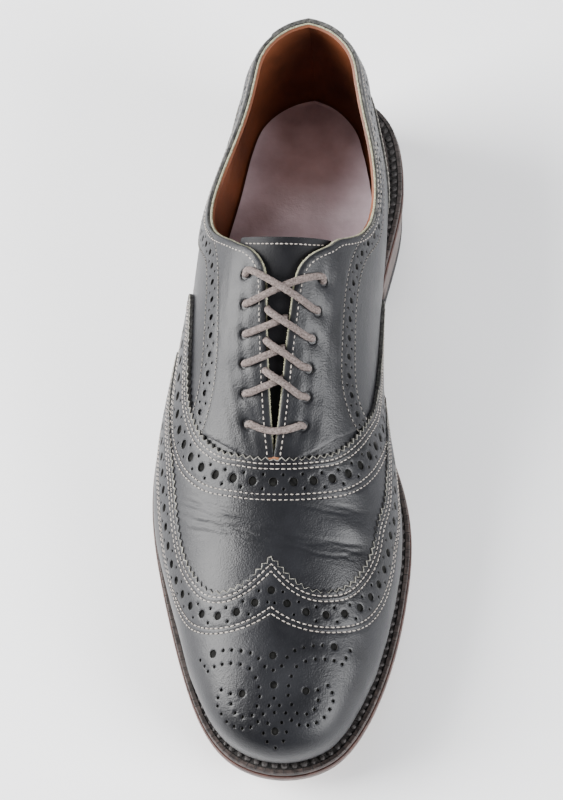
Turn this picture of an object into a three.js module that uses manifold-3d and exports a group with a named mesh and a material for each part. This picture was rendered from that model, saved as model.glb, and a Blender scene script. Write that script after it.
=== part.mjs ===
// Wingtip dress shoe, the wearer's right shoe, standing unbent on a flat floor.
// X runs to the arch side, Y to the heel, Z up. Millimetres.
import * as THREE from 'three';
import Module from 'manifold-3d';

// Driving sizes
const LENGTH = 310;
const BALL_WIDTH = 108;
const INSTEP = 108;
const TOE_BOX = 50.5;
const HEEL_SEAT = 26.5;
const TOE_SPRING = 13;
const FLAT_FROM = 0.60;
const FLAT_TO = 0.70;
const SPRING_POWER = 1.6;
const HEEL_LENGTH = 92;
const TOP_LIFT = 6.5;
const OUTSOLE = 5.2;
const OUTSOLE_CHAMFER = 1.0;
const LIFT_CHAMFER = 0.6;
const WELT = 3.2;
const WELT_STEP = 0.8;
const INSOLE = 2.6;
const WALL = 2.2;
const GAP = 0.3;
const WING_THICK = 1.6;
const VAMP_THICK = 1.2;
const FACING_THICK = 0.9;
const COUNTER_THICK = 0.9;
const STRAP_THICK = 1.3;
const HEEL_POLE = 0.13;
const TOE_POLE = 0.87;
const WIDEST_AT = 0.2;
const RIDGE_SLOPE = -0.24;
const SOLE_TUCK = 4;
const COLLAR_BACK = 97;
const SLIT_WIDTH = 15;
const EYELET = 4.2;
const EYELET_SIDES = 10;
const LACE = 2.8;
const LACE_SIDES = 7;
const LACE_PAST = 2.5;
const LACE_OVER = 1.2;
const LACE_BAR_SAG = 0.02;
const LACE_SPARE = 0.1;
const LACE_STEPS = 8;
const TONGUE_THICK = 2.0;
const TONGUE_DROP = 1.4;
const TONGUE_HALF = 21;
const TONGUE_TAPER = 0.35;
const TONGUE_TOP = 0.86;
const TONGUE_FLARE = 2;
const TONGUE_FROM = 0.388;
const TONGUE_TO = 0.665;
const CUT_DEPTH = 5;
const SHOULDER_ARC = 85;
const CORNER_ROUND = 0.04;
const FACING_PAST = 0.08;
const SLIT_PAST = 0.02;
const WING_PAST = 0.05;
const FOOT_PAST = 0.12;
const SOLE_STEPS = 2;
const SOLE_SNAP = 0.1;
const SKIRT_REACH = 10;
const MERGE = 0.03;

// Colours and finish
const LEATHER = { color: 0x23262b, roughness: 0.42, metalness: 0 };
const LEATHER_DULL = { color: 0x1d2024, roughness: 0.5, metalness: 0 };
const SOLE_BROWN = { color: 0x2a1d17, roughness: 0.6, metalness: 0 };
const WELT_BLACK = { color: 0x1b1817, roughness: 0.75, metalness: 0 };
const RUBBER = { color: 0x17181a, roughness: 0.8, metalness: 0 };
const PAD_MAROON = { color: 0x5a3d38, roughness: 0.45, metalness: 0 };
const LACE_TAUPE = { color: 0x7d706a, roughness: 0.85, metalness: 0 };

// Outline of the sole in plan.
// Columns: place along the length, lateral and medial half width as shares of the ball width
const OUTLINE = [
  [0.000, 0.000, 0.000],
  [0.006, 0.118, 0.118],
  [0.030, 0.240, 0.240],
  [0.070, 0.325, 0.328],
  [0.130, 0.362, 0.368],
  [0.200, 0.372, 0.368],
  [0.300, 0.392, 0.312],
  [0.400, 0.448, 0.278],
  [0.500, 0.533, 0.320],
  [0.580, 0.566, 0.400],
  [0.660, 0.548, 0.441],
  [0.740, 0.496, 0.430],
  [0.820, 0.430, 0.394],
  [0.890, 0.360, 0.338],
  [0.940, 0.290, 0.275],
  [0.975, 0.205, 0.200],
  [0.994, 0.105, 0.105],
  [1.000, 0.000, 0.000],
];

// Underside of the outsole over the arch.
// Columns: place along the length, height as a share of the heel seat
const ARCH = [
  [0.00, 1.000],
  [0.12, 0.980],
  [0.25, 0.925],
  [0.33, 0.790],
  [0.42, 0.520],
  [0.51, 0.196],
  [0.57, 0.035],
  [0.60, 0.000],
];

// Sections of the last, square to its length and fanned round heel and toe.
// Columns: place, lateral and medial set-in of the widest line and its height over the feather as
// shares of the ball width, ridge height as a share of the instep, lateral and medial fullness,
// ridge offset as a share of the ball width
const SECTIONS = [
  [0.000, 0.037, 0.037, 0.148, 1.072, 0.66, 0.66, 0.002],
  [0.065, 0.068, 0.090, 0.148, 1.072, 0.92, 0.70, 0.002],
  [0.130, 0.062, 0.092, 0.148, 1.072, 1.40, 1.07, 0.002],
  [0.200, 0.039, 0.056, 0.139, 1.065, 1.20, 0.94, -0.008],
  [0.300, 0.000, -0.002, 0.130, 1.060, 0.90, 0.70, -0.018],
  [0.400, 0.023, -0.023, 0.130, 1.000, 1.00, 0.95, -0.037],
  [0.500, 0.056, 0.008, 0.120, 0.866, 1.05, 0.95, -0.051],
  [0.600, 0.051, 0.055, 0.111, 0.718, 1.05, 0.90, -0.054],
  [0.700, 0.041, 0.056, 0.102, 0.602, 0.95, 0.85, -0.052],
  [0.800, 0.051, 0.056, 0.093, 0.519, 0.85, 0.78, -0.046],
  [0.870, 0.051, 0.056, 0.093, TOE_BOX / INSTEP, 0.80, 0.74, -0.039],
  [0.935, 0.051, 0.054, 0.093, TOE_BOX / INSTEP, 0.78, 0.74, -0.039],
  [1.000, 0.051, 0.051, 0.093, TOE_BOX / INSTEP, 0.76, 0.76, -0.039],
];

// Topline of the collar.
// Columns: place, lateral and medial height as shares of the collar's back
const TOPLINE = [
  [0.000, 1.000, 1.000],
  [0.080, 0.978, 0.978],
  [0.160, 0.928, 0.928],
  [0.240, 0.880, 0.885],
  [0.300, 0.868, 0.866],
  [0.335, 0.905, 0.895],
  [0.360, 0.965, 0.965],
  [0.380, 1.030, 1.045],
  [0.400, 1.100, 1.120],
  [0.430, 1.340, 1.340],
];

// Edges of the lacing slit.
// Columns: place, reach of each facing's edge from the ridge as a share of the slit's width
const SLIT = [
  [0.360, 1.360],
  [0.372, 1.320],
  [0.380, 1.270],
  [0.387, 1.180],
  [0.394, 1.030],
  [0.402, 0.840],
  [0.411, 0.660],
  [0.424, 0.490],
  [0.445, 0.385],
  [0.473, 0.335],
  [0.520, 0.257],
  [0.575, 0.163],
  [0.620, 0.060],
  [0.640, 0.000],
];

// Rear edge of the wing cap.
// Columns: place, share of the way up the section. Lateral side first, from feather to ridge
const WING_LATERAL = [
  [0.435, -0.100],
  [0.440, 0.100],
  [0.450, 0.260],
  [0.466, 0.345],
  [0.507, 0.403],
  [0.556, 0.464],
  [0.605, 0.515],
  [0.657, 0.542],
  [0.712, 0.541],
  [0.749, 0.554],
  [0.773, 0.598],
  [0.789, 0.652],
  [0.796, 0.722],
  [0.794, 0.805],
  [0.781, 0.900],
  [0.757, 1.000],
];
const WING_MEDIAL = [
  [0.462, -0.100],
  [0.470, 0.060],
  [0.490, 0.190],
  [0.522, 0.272],
  [0.554, 0.340],
  [0.586, 0.390],
  [0.622, 0.429],
  [0.661, 0.466],
  [0.694, 0.514],
  [0.719, 0.527],
  [0.745, 0.552],
  [0.769, 0.602],
  [0.785, 0.660],
  [0.792, 0.727],
  [0.794, 0.798],
  [0.790, 0.863],
  [0.778, 0.928],
  [0.757, 1.000],
];

// Rear edge of the vamp, from the feather of each side up to the foot of the slit
const THROAT_LATERAL = [
  [0.372, -0.100],
  [0.379, 0.120],
  [0.388, 0.300],
  [0.402, 0.405],
  [0.430, 0.463],
  [0.469, 0.516],
  [0.505, 0.555],
  [0.541, 0.588],
  [0.568, 0.622],
  [0.590, 0.662],
  [0.607, 0.702],
  [0.620, 0.748],
  [0.630, 0.800],
  [0.636, 0.870],
  [0.640, 0.935],
  [0.641, 1.000],
];
const THROAT_MEDIAL = [
  [0.335, -0.100],
  [0.345, 0.060],
  [0.368, 0.155],
  [0.400, 0.200],
  [0.432, 0.240],
  [0.463, 0.288],
  [0.489, 0.335],
  [0.520, 0.400],
  [0.547, 0.463],
  [0.567, 0.524],
  [0.584, 0.577],
  [0.600, 0.628],
  [0.614, 0.680],
  [0.625, 0.733],
  [0.632, 0.790],
  [0.637, 0.862],
  [0.640, 0.930],
  [0.641, 1.000],
];

// Lower edge of each facing, from the back strap along the topline and down beside the slit
const BAND_LATERAL = [
  [0.000, 0.399],
  [0.065, 0.454],
  [0.130, 0.510],
  [0.200, 0.458],
  [0.270, 0.393],
  [0.320, 0.385],
  [0.350, 0.440],
  [0.375, 0.522],
  [0.393, 0.564],
  [0.420, 0.593],
  [0.459, 0.619],
  [0.500, 0.641],
  [0.535, 0.646],
  [0.560, 0.632],
  [0.585, 0.600],
];
const BAND_MEDIAL = [
  [0.000, 0.399],
  [0.065, 0.395],
  [0.130, 0.445],
  [0.200, 0.417],
  [0.250, 0.373],
  [0.295, 0.347],
  [0.332, 0.382],
  [0.365, 0.475],
  [0.391, 0.526],
  [0.415, 0.548],
  [0.441, 0.559],
  [0.470, 0.565],
  [0.496, 0.570],
  [0.522, 0.577],
  [0.541, 0.573],
  [0.556, 0.555],
  [0.570, 0.510],
];

// Upper edge of the heel counter.
// Columns: place round the heel, lateral minus and medial plus, share of the way up
const COUNTER = [
  [-0.235, -0.100],
  [-0.228, 0.080],
  [-0.195, 0.223],
  [-0.145, 0.315],
  [-0.090, 0.322],
  [-0.045, 0.304],
  [0.000, 0.330],
  [0.045, 0.272],
  [0.090, 0.266],
  [0.145, 0.270],
  [0.195, 0.210],
  [0.228, 0.080],
  [0.235, -0.100],
];

// Back strap.
// Columns: share of the way up, half width round the heel
const STRAP = [
  [0.346, 0.012],
  [0.368, 0.015],
  [0.395, 0.021],
  [0.430, 0.032],
  [0.485, 0.045],
  [0.679, 0.052],
];

// Eyelet rows from the top down.
// Columns: place, reach from the ridge as a share of the ball width
const EYELETS_LATERAL = [
  [0.430, 0.130],
  [0.465, 0.122],
  [0.499, 0.116],
  [0.532, 0.115],
  [0.566, 0.109],
  [0.601, 0.097],
];
const EYELETS_MEDIAL = [
  [0.432, 0.150],
  [0.468, 0.137],
  [0.501, 0.124],
  [0.535, 0.115],
  [0.568, 0.111],
  [0.601, 0.103],
];

// Lace crossings that dive into the slit, bottom to top.
// Columns: eyelet row, rise of the lateral and the medial strand along the shoe
const CROSSINGS = [
  [4, 0.018, 0.034],
  [3, 0.018, 0.034],
  [2, 0.016, 0.032],
];

const wasm = await Module();
wasm.setup();

// Curve through a table's rows, natural at its ends or closed
function curve(xs, ys, closed) {
  const n = closed ? xs.length - 1 : xs.length;
  const h = [];
  for (let i = 0; i + 1 < xs.length; i += 1) h.push(xs[i + 1] - xs[i]);
  const A = [];
  const r = new Array(n).fill(0);
  for (let i = 0; i < n; i += 1) A.push(new Array(n).fill(0));
  for (let i = 0; i < n; i += 1) {
    if (!closed && (i === 0 || i === n - 1)) {
      A[i][i] = 1;
      continue;
    }
    const before = i ? h[i - 1] : h[n - 1];
    const last = i ? ys[i - 1] : ys[n - 1];
    A[i][(i - 1 + n) % n] += before;
    A[i][i] += 2 * (before + h[i]);
    A[i][(i + 1) % n] += h[i];
    r[i] = 6 * ((ys[i + 1] - ys[i]) / h[i] - (ys[i] - last) / before);
  }
  for (let k = 0; k < n; k += 1) {
    for (let i = k + 1; i < n; i += 1) {
      if (A[i][k] === 0) continue;
      const m = A[i][k] / A[k][k];
      for (let j = k; j < n; j += 1) A[i][j] -= m * A[k][j];
      r[i] -= m * r[k];
    }
  }
  const m = new Array(n).fill(0);
  for (let i = n - 1; i >= 0; i -= 1) {
    let sum = r[i];
    for (let j = i + 1; j < n; j += 1) sum -= A[i][j] * m[j];
    m[i] = sum / A[i][i];
  }
  if (closed) m.push(m[0]);
  return (x) => {
    let i = 0;
    while (i < xs.length - 2 && x >= xs[i + 1]) i += 1;
    const hh = xs[i + 1] - xs[i];
    const a = (xs[i + 1] - x) / hh;
    const b = (x - xs[i]) / hh;
    const bend = (a * a * a - a) * m[i] + (b * b * b - b) * m[i + 1];
    return a * ys[i] + b * ys[i + 1] + bend * hh * hh / 6;
  };
}

const column = (table, k, scale = 1) => curve(table.map((row) => row[0]), table.map((row) => row[k] * scale));

// The sole's outline as a closed curve by table row
const loopRows = OUTLINE.map((row) => [row[0] * LENGTH, -row[1] * BALL_WIDTH]);
for (let i = OUTLINE.length - 2; i >= 0; i -= 1) {
  loopRows.push([OUTLINE[i][0] * LENGTH, OUTLINE[i][2] * BALL_WIDTH]);
}
const loopAt = [0];
for (let i = 1; i < loopRows.length; i += 1) {
  const run = Math.hypot(loopRows[i][0] - loopRows[i - 1][0], loopRows[i][1] - loopRows[i - 1][1]);
  loopAt.push(loopAt[i - 1] + Math.sqrt(run));
}
const loopAlong = curve(loopAt, loopRows.map((row) => row[0]), true);
const loopAcross = curve(loopAt, loopRows.map((row) => row[1]), true);
const loopEnd = loopAt[loopAt.length - 1];

function outlinePoint(row) {
  const last = loopRows.length - 1;
  const r = Math.min(Math.max(row, 0), last);
  const i = Math.min(Math.floor(r), last - 1);
  const at = loopAt[i] + (r - i) * (loopAt[i + 1] - loopAt[i]);
  return [loopAlong(at), loopAcross(at)];
}

// The outline moved inwards along its own normal
function outlineInset(row, inset) {
  const last = loopRows.length - 1;
  const step = 0.02;
  const a = outlinePoint((row - step + last) % last);
  const b = outlinePoint((row + step) % last);
  const p = outlinePoint(row);
  const run = Math.hypot(b[0] - a[0], b[1] - a[1]);
  return [p[0] - (b[1] - a[1]) / run * inset, p[1] + (b[0] - a[0]) / run * inset];
}

const DENSE = [];
for (let i = 0; i <= 1600; i += 1) {
  const at = loopEnd * i / 1600;
  DENSE.push([loopAlong(at), loopAcross(at)]);
}

const arch = column(ARCH, 1, HEEL_SEAT);
function underside(share) {
  if (share < FLAT_FROM) return Math.max(arch(Math.max(share, 0)), 0);
  if (share <= FLAT_TO) return 0;
  return TOE_SPRING * Math.pow((share - FLAT_TO) / (1 - FLAT_TO), SPRING_POWER);
}
const featherHeight = (share) => underside(share) + OUTSOLE + WELT + 2 * GAP;

const setLateral = column(SECTIONS, 1, BALL_WIDTH);
const setMedial = column(SECTIONS, 2, BALL_WIDTH);
const wideOver = column(SECTIONS, 3, BALL_WIDTH);
const ridgeHeight = column(SECTIONS, 4, INSTEP);
const fullLateral = column(SECTIONS, 5);
const fullMedial = column(SECTIONS, 6);
const ridgeOffset = column(SECTIONS, 7, BALL_WIDTH);

// Where a section starts on the ridge line and which way it runs in plan
function spoke(v, side) {
  if (v < HEEL_POLE) {
    const turn = Math.PI / 2 * v / HEEL_POLE;
    return { from: [HEEL_POLE * LENGTH, ridgeOffset(HEEL_POLE)], way: [-Math.cos(turn), side * Math.sin(turn)] };
  }
  if (v > TOE_POLE) {
    const turn = Math.PI / 2 * (1 - v) / (1 - TOE_POLE);
    return { from: [TOE_POLE * LENGTH, ridgeOffset(TOE_POLE)], way: [Math.cos(turn), side * Math.sin(turn)] };
  }
  return { from: [v * LENGTH, ridgeOffset(v)], way: [0, side] };
}

function reach(from, way) {
  let best = 0;
  for (let i = 0; i + 1 < DENSE.length; i += 1) {
    const a = [DENSE[i][0] - from[0], DENSE[i][1] - from[1]];
    const b = [DENSE[i + 1][0] - from[0], DENSE[i + 1][1] - from[1]];
    const ca = a[0] * way[1] - a[1] * way[0];
    const cb = b[0] * way[1] - b[1] * way[0];
    if (ca * cb > 0 || ca === cb) continue;
    const t = ca / (ca - cb);
    const far = (a[0] + t * (b[0] - a[0])) * way[0] + (a[1] + t * (b[1] - a[1])) * way[1];
    if (far > best) best = far;
  }
  return best;
}

const sectionStore = new Map();
function section(v, side) {
  const key = `${v.toFixed(6)}_${side}`;
  if (sectionStore.has(key)) return sectionStore.get(key);
  const { from, way } = spoke(v, side);
  const lateral = side < 0;
  const wide = reach(from, way) - (lateral ? setLateral(v) : setMedial(v));
  const foot = wide - SOLE_TUCK;
  const footHeight = featherHeight((from[0] + way[0] * foot) / LENGTH);
  const out = {
    from,
    way,
    wide,
    footHeight,
    wideHeight: footHeight + wideOver(v),
    top: ridgeHeight(Math.min(Math.max(v, HEEL_POLE), TOE_POLE)),
    full: lateral ? fullLateral(v) : fullMedial(v),
    nose: v > TOE_POLE ? way[0] * RIDGE_SLOPE : 0,
  };
  sectionStore.set(key, out);
  return out;
}

// A point of the last: v along the shoe, side, h from feather 0 to ridge 1
function lastPoint(v, side, h) {
  const s = section(v, side);
  let r = 0;
  let z = 0;
  if (h < WIDEST_AT) {
    const t = h / WIDEST_AT;
    r = s.wide - SOLE_TUCK * (1 - t) * (1 - t);
    z = s.footHeight + (s.wideHeight - s.footHeight) * t;
  } else {
    const turn = Math.PI / 2 * (1 - (Math.min(h, 1) - WIDEST_AT) / (1 - WIDEST_AT));
    const q = Math.sin(turn);
    r = s.wide * q;
    z = s.wideHeight + (s.top - s.wideHeight) * Math.pow(Math.max(Math.cos(turn), 0), s.full);
    z += s.nose * r * (1 - q * q);
  }
  const along = s.from[0] + s.way[0] * r;
  const across = s.from[1] + s.way[1] * r;
  return new THREE.Vector3(across, LENGTH / 2 - along, z);
}

function lastNormal(v, side, h) {
  const e = 0.004;
  let vv = v;
  let hh = Math.min(h, 1 - e);
  if (v > TOE_POLE && h > 1 - e) vv = TOE_POLE;
  vv = Math.min(Math.max(vv, 0), 1);
  const v0 = Math.max(vv - e, 0);
  const v1 = Math.min(vv + e, 1);
  const a = lastPoint(v1, side, hh).sub(lastPoint(v0, side, hh));
  const b = lastPoint(vv, side, hh + e).sub(lastPoint(vv, side, hh - e));
  const n = a.cross(b).multiplyScalar(-side);
  if (h >= 1 - e) n.x = 0;
  return n.normalize();
}

function skin(v, side, h, d) {
  return lastPoint(v, side, h).addScaledVector(lastNormal(v, side, h), d);
}

// Share of the way up at which a section reaches a height, or a distance from the ridge
function shareAtHeight(v, side, z) {
  const s = section(v, side);
  const level = Math.min(Math.max((z - s.wideHeight) / (s.top - s.wideHeight), 0), 1);
  const turn = Math.acos(Math.pow(level, 1 / s.full));
  return 1 - (1 - WIDEST_AT) * turn / (Math.PI / 2);
}
function shareAtReach(v, side, x) {
  const s = section(v, side);
  const turn = Math.asin(Math.min(Math.max(x / s.wide, 0), 1));
  return 1 - (1 - WIDEST_AT) * turn / (Math.PI / 2);
}

const topLateral = column(TOPLINE, 1, COLLAR_BACK);
const topMedial = column(TOPLINE, 2, COLLAR_BACK);
const slitReach = column(SLIT, 1, SLIT_WIDTH);
const SLIT_END = SLIT[SLIT.length - 1][0];
const TOPLINE_END = TOPLINE[TOPLINE.length - 1][0];

// The free edge: topline round the collar, rounded corner, edge of the slit
function freeEdge(v, side) {
  if (v >= SLIT_END) return 1;
  const slit = v > SLIT[0][0] ? shareAtReach(v, side, slitReach(v)) : 1;
  if (v >= TOPLINE_END) return slit;
  const top = shareAtHeight(v, side, side < 0 ? topLateral(v) : topMedial(v));
  const k = CORNER_ROUND;
  const t = Math.max(k - Math.abs(slit - top), 0) / k;
  return Math.min(slit, top) - t * t * k / 4;
}

const PLACES = [
  0, 0.042, 0.086, 0.13, 0.17, 0.215, 0.26, 0.3, 0.33, 0.353, 0.372, 0.386, 0.395, 0.404, 0.416, 0.433, 0.458,
  0.487, 0.52, 0.56,
  0.6, 0.64, 0.675, 0.71, 0.745, 0.78, 0.812, 0.842, 0.87, 0.9, 0.93, 0.958, 0.981, 1,
];
const LEVELS = [0, 0.12, 0.23, 0.36, 0.5, 0.64, 0.77, 0.89, 1];

// A closed solid from loose triangles: meeting corners joined, faces turned out
function solid(points, triangles) {
  const index = new Map();
  const verts = [];
  const id = points.map((p) => {
    const key = `${Math.round(p.x * 1e4)},${Math.round(p.y * 1e4)},${Math.round(p.z * 1e4)}`;
    if (!index.has(key)) {
      index.set(key, verts.length / 3);
      verts.push(p.x, p.y, p.z);
    }
    return index.get(key);
  });
  const tris = [];
  for (const [a, b, c] of triangles) {
    const t = [id[a], id[b], id[c]];
    if (t[0] !== t[1] && t[1] !== t[2] && t[2] !== t[0]) tris.push(...t);
  }
  let volume = 0;
  for (let i = 0; i < tris.length; i += 3) {
    const [a, b, c] = [0, 1, 2].map((k) => new THREE.Vector3().fromArray(verts, tris[i + k] * 3));
    volume += a.dot(b.cross(c));
  }
  if (volume < 0) {
    for (let i = 0; i < tris.length; i += 3) [tris[i], tris[i + 1]] = [tris[i + 1], tris[i]];
  }
  const mesh = new wasm.Mesh({
    numProp: 3,
    vertProperties: Float32Array.from(verts),
    triVerts: Uint32Array.from(tris),
  });
  return new wasm.Manifold(mesh);
}

// A sheet with thickness from a grid of points and the same grid moved
function sheet(outer, inner, faces) {
  const n = outer.length;
  const index = new Map();
  const id = outer.map((p, i) => {
    const key = `${Math.round(p.x * 1e3)},${Math.round(p.y * 1e3)},${Math.round(p.z * 1e3)}`;
    if (!index.has(key)) index.set(key, i);
    return index.get(key);
  });
  const kept = [];
  for (const f of faces) {
    const t = f.map((k) => id[k]);
    if (t[0] !== t[1] && t[1] !== t[2] && t[2] !== t[0]) kept.push(t);
  }
  const edges = new Map();
  for (const t of kept) {
    for (let k = 0; k < 3; k += 1) {
      const a = t[k];
      const b = t[(k + 1) % 3];
      const back = `${b}_${a}`;
      if (edges.has(back)) edges.delete(back);
      else edges.set(`${a}_${b}`, [a, b]);
    }
  }
  const tris = [];
  for (const [a, b, c] of kept) {
    tris.push([a, b, c]);
    tris.push([n + a, n + c, n + b]);
  }
  for (const [a, b] of edges.values()) {
    tris.push([b, a, n + a]);
    tris.push([b, n + a, n + b]);
  }
  return solid([...outer, ...inner], tris);
}

// The whole upper's grid, both sides, glued at the ridge, heel and toe
function upperGrid() {
  const points = [];
  const faces = [];
  const starts = [];
  const sides = [-1, 1];
  for (const side of sides) {
    const start = points.length;
    for (const v of PLACES) {
      const top = freeEdge(v, side);
      for (const level of LEVELS) points.push(lastPoint(v, side, level * top));
    }
    const m = LEVELS.length;
    for (let i = 0; i + 1 < PLACES.length; i += 1) {
      for (let j = 0; j + 1 < m; j += 1) {
        const a = start + i * m + j;
        const quad = side < 0 ? [a, a + m, a + m + 1, a + 1] : [a, a + 1, a + m + 1, a + m];
        faces.push([quad[0], quad[1], quad[2]]);
        faces.push([quad[0], quad[2], quad[3]]);
        starts.push(PLACES[i], PLACES[i]);
      }
    }
  }
  return { points, faces, starts };
}

const grid = upperGrid();

// Mean normals of the grid with meeting corners sharing one
const gridNormals = (() => {
  const index = new Map();
  const keys = grid.points.map((p) => `${Math.round(p.x * 1e3)},${Math.round(p.y * 1e3)},${Math.round(p.z * 1e3)}`);
  keys.forEach((key) => { if (!index.has(key)) index.set(key, new THREE.Vector3()); });
  for (const [a, b, c] of grid.faces) {
    const ab = grid.points[b].clone().sub(grid.points[a]);
    const ac = grid.points[c].clone().sub(grid.points[a]);
    const n = ab.cross(ac);
    [a, b, c].forEach((k) => index.get(keys[k]).add(n));
  }
  index.forEach((n) => n.normalize());
  const up = index.get(keys[(LEVELS.length * PLACES.length) - 1]);
  const sign = up.z < 0 ? -1 : 1;
  return keys.map((key) => index.get(key).clone().multiplyScalar(sign));
})();

function shell(low, high, from = 0) {
  const at = (d) => grid.points.map((p, i) => p.clone().addScaledVector(gridNormals[i], d));
  return sheet(at(high), at(low), grid.faces.filter((face, i) => grid.starts[i] >= from));
}

// Places on the last: over the ridge, q from lateral feather -1 to medial feather 1
const overRidge = ([v, q], d) => skin(v, q < 0 ? -1 : 1, 1 - Math.abs(q), d);
// Round the heel, w from lateral minus to medial plus
const roundHeel = ([w, h], d) => skin(Math.abs(w), w < 0 ? -1 : 1, h, d);

// A cutter ruled between two edges of equal count, deeper than every layer
function ruled(first, second, steps, map, low = -CUT_DEPTH, high = CUT_DEPTH) {
  const outer = [];
  const inner = [];
  const faces = [];
  const m = steps + 1;
  first.forEach((a, i) => {
    const b = second[i];
    for (let k = 0; k <= steps; k += 1) {
      const t = k / steps;
      const place = [a[0] + (b[0] - a[0]) * t, a[1] + (b[1] - a[1]) * t];
      outer.push(map(place, high));
      inner.push(map(place, low));
    }
  });
  for (let i = 0; i + 1 < first.length; i += 1) {
    for (let k = 0; k < steps; k += 1) {
      const a = i * m + k;
      faces.push([a, a + m, a + m + 1]);
      faces.push([a, a + m + 1, a + 1]);
    }
  }
  return sheet(outer, inner, faces);
}

// An edge across both sides, as places over the ridge, with each row split
function edgeOver(lateral, medial, splits) {
  const half = (rows, side) => {
    const at = rows.map((row, i) => i);
    const place = curve(at, rows.map((row) => row[0]));
    const share = curve(at, rows.map((row) => row[1]));
    const out = [];
    for (let i = 0; i <= (rows.length - 1) * splits; i += 1) {
      const t = i / splits;
      out.push([place(t), side * Math.max(1 - share(t), 0)]);
    }
    return out;
  };
  return [...half(lateral, -1), ...half(medial, 1).reverse().slice(1)];
}

// An edge moved sideways along the shoe's surface by a distance
function moved(edge, distance) {
  return edge.map((p, i) => {
    const a = edge[Math.max(i - 1, 0)];
    const b = edge[Math.min(i + 1, edge.length - 1)];
    const dx = (b[0] - a[0]) * LENGTH;
    const dy = (b[1] - a[1]) * SHOULDER_ARC;
    const run = Math.hypot(dx, dy);
    return [p[0] - dy / run * distance / LENGTH, p[1] + dx / run * distance / SHOULDER_ARC];
  });
}

const SPLITS = 1;
const WING_FROM = 0.3;
const wingEdge = edgeOver(WING_LATERAL, WING_MEDIAL, SPLITS);
const throatEdge = edgeOver(THROAT_LATERAL, THROAT_MEDIAL, SPLITS);
const rearLine = wingEdge.map((p) => [WING_FROM - WING_PAST, p[1]]);

function smoothRows(rows, splits) {
  const at = rows.map((row, i) => i);
  const a = curve(at, rows.map((row) => row[0]));
  const b = curve(at, rows.map((row) => row[1]));
  const out = [];
  for (let i = 0; i <= (rows.length - 1) * splits; i += 1) out.push([a(i / splits), b(i / splits)]);
  return out;
}

// Punch through both layers along the surface's normal
function eyelet(v, side, x) {
  const h = shareAtReach(v, side, x);
  const base = lastPoint(v, side, h);
  const n = lastNormal(v, side, h);
  const u = new THREE.Vector3(0, 1, 0).cross(n).normalize();
  const w = n.clone().cross(u);
  const points = [];
  for (const d of [-CUT_DEPTH, CUT_DEPTH]) {
    for (let k = 0; k < EYELET_SIDES; k += 1) {
      const t = 2 * Math.PI * k / EYELET_SIDES;
      const p = base.clone().addScaledVector(n, d);
      p.addScaledVector(u, EYELET / 2 * Math.cos(t)).addScaledVector(w, EYELET / 2 * Math.sin(t));
      points.push(p);
    }
  }
  const tris = [];
  for (let k = 0; k < EYELET_SIDES; k += 1) {
    const j = (k + 1) % EYELET_SIDES;
    tris.push([k, j, EYELET_SIDES + j], [k, EYELET_SIDES + j, EYELET_SIDES + k]);
    if (k > 0 && j > 0) {
      tris.push([0, j, k]);
      tris.push([EYELET_SIDES, EYELET_SIDES + k, EYELET_SIDES + j]);
    }
  }
  return solid(points, tris);
}

const rowsOf = (table, side) => table.map((row) => ({ v: row[0], side, x: row[1] * BALL_WIDTH }));
const lateralEyes = rowsOf(EYELETS_LATERAL, -1);
const medialEyes = rowsOf(EYELETS_MEDIAL, 1);
let punches = null;
for (const eye of [...lateralEyes, ...medialEyes]) {
  const punch = eyelet(eye.v, eye.side, eye.x);
  punches = punches ? punches.add(punch) : punch;
}

// A stack of closed loops joined side to side, with strips across for the caps
function stack(loops) {
  const n = loops[0].length;
  const points = loops.flat();
  const tris = [];
  for (let l = 0; l + 1 < loops.length; l += 1) {
    for (let i = 0; i < n; i += 1) {
      const j = (i + 1) % n;
      tris.push([l * n + i, l * n + j, (l + 1) * n + j], [l * n + i, (l + 1) * n + j, (l + 1) * n + i]);
    }
  }
  const half = n / 2;
  for (const [base, flip] of [[0, true], [(loops.length - 1) * n, false]]) {
    for (let i = 0; i + 1 < half; i += 1) {
      const a = base + i;
      const b = base + i + 1;
      const c = base + n - 2 - i;
      const d = base + n - 1 - i;
      if (flip) tris.push([a, c, b], [a, d, c]);
      else tris.push([a, b, c], [a, c, d]);
    }
  }
  return solid(points, tris);
}

// Loop of paired points of the outline, lateral then medial, set in and raised
function soleLoop(inset, height, until = OUTLINE.length - 1) {
  const steps = Math.ceil(until * SOLE_STEPS - SOLE_SNAP);
  const last = loopRows.length - 1;
  const point = (row) => {
    const p = outlineInset(row, inset);
    return new THREE.Vector3(p[1], LENGTH / 2 - p[0], height(p[0] / LENGTH));
  };
  const loop = [];
  const row = (i) => Math.min(i / SOLE_STEPS, until);
  for (let i = 0; i <= steps; i += 1) loop.push(point(row(i)));
  for (let i = steps; i >= 0; i -= 1) loop.push(point(last - row(i)));
  return loop;
}

const onOutsole = (rise) => (share) => underside(share) + OUTSOLE + GAP + rise;

// The upper and its overlays, which stop above the welt
const skirt = stack([
  soleLoop(-SKIRT_REACH, onOutsole(-SKIRT_REACH)),
  soleLoop(-SKIRT_REACH, onOutsole(WELT + GAP)),
]);
const overlay = (thick, from = 0) => shell(GAP, GAP + thick, from).subtract(skirt);
const upper = shell(-WALL, 0).subtract(punches);
const wing = overlay(WING_THICK, WING_FROM).subtract(ruled(wingEdge, rearLine, 8, overRidge));
const vampRegion = (grow) => ruled(moved(wingEdge, -grow), moved(throatEdge, grow), 5, overRidge);
const vamp = overlay(VAMP_THICK).intersect(vampRegion(-GAP));
const vampCut = vampRegion(GAP / 2);

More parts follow.
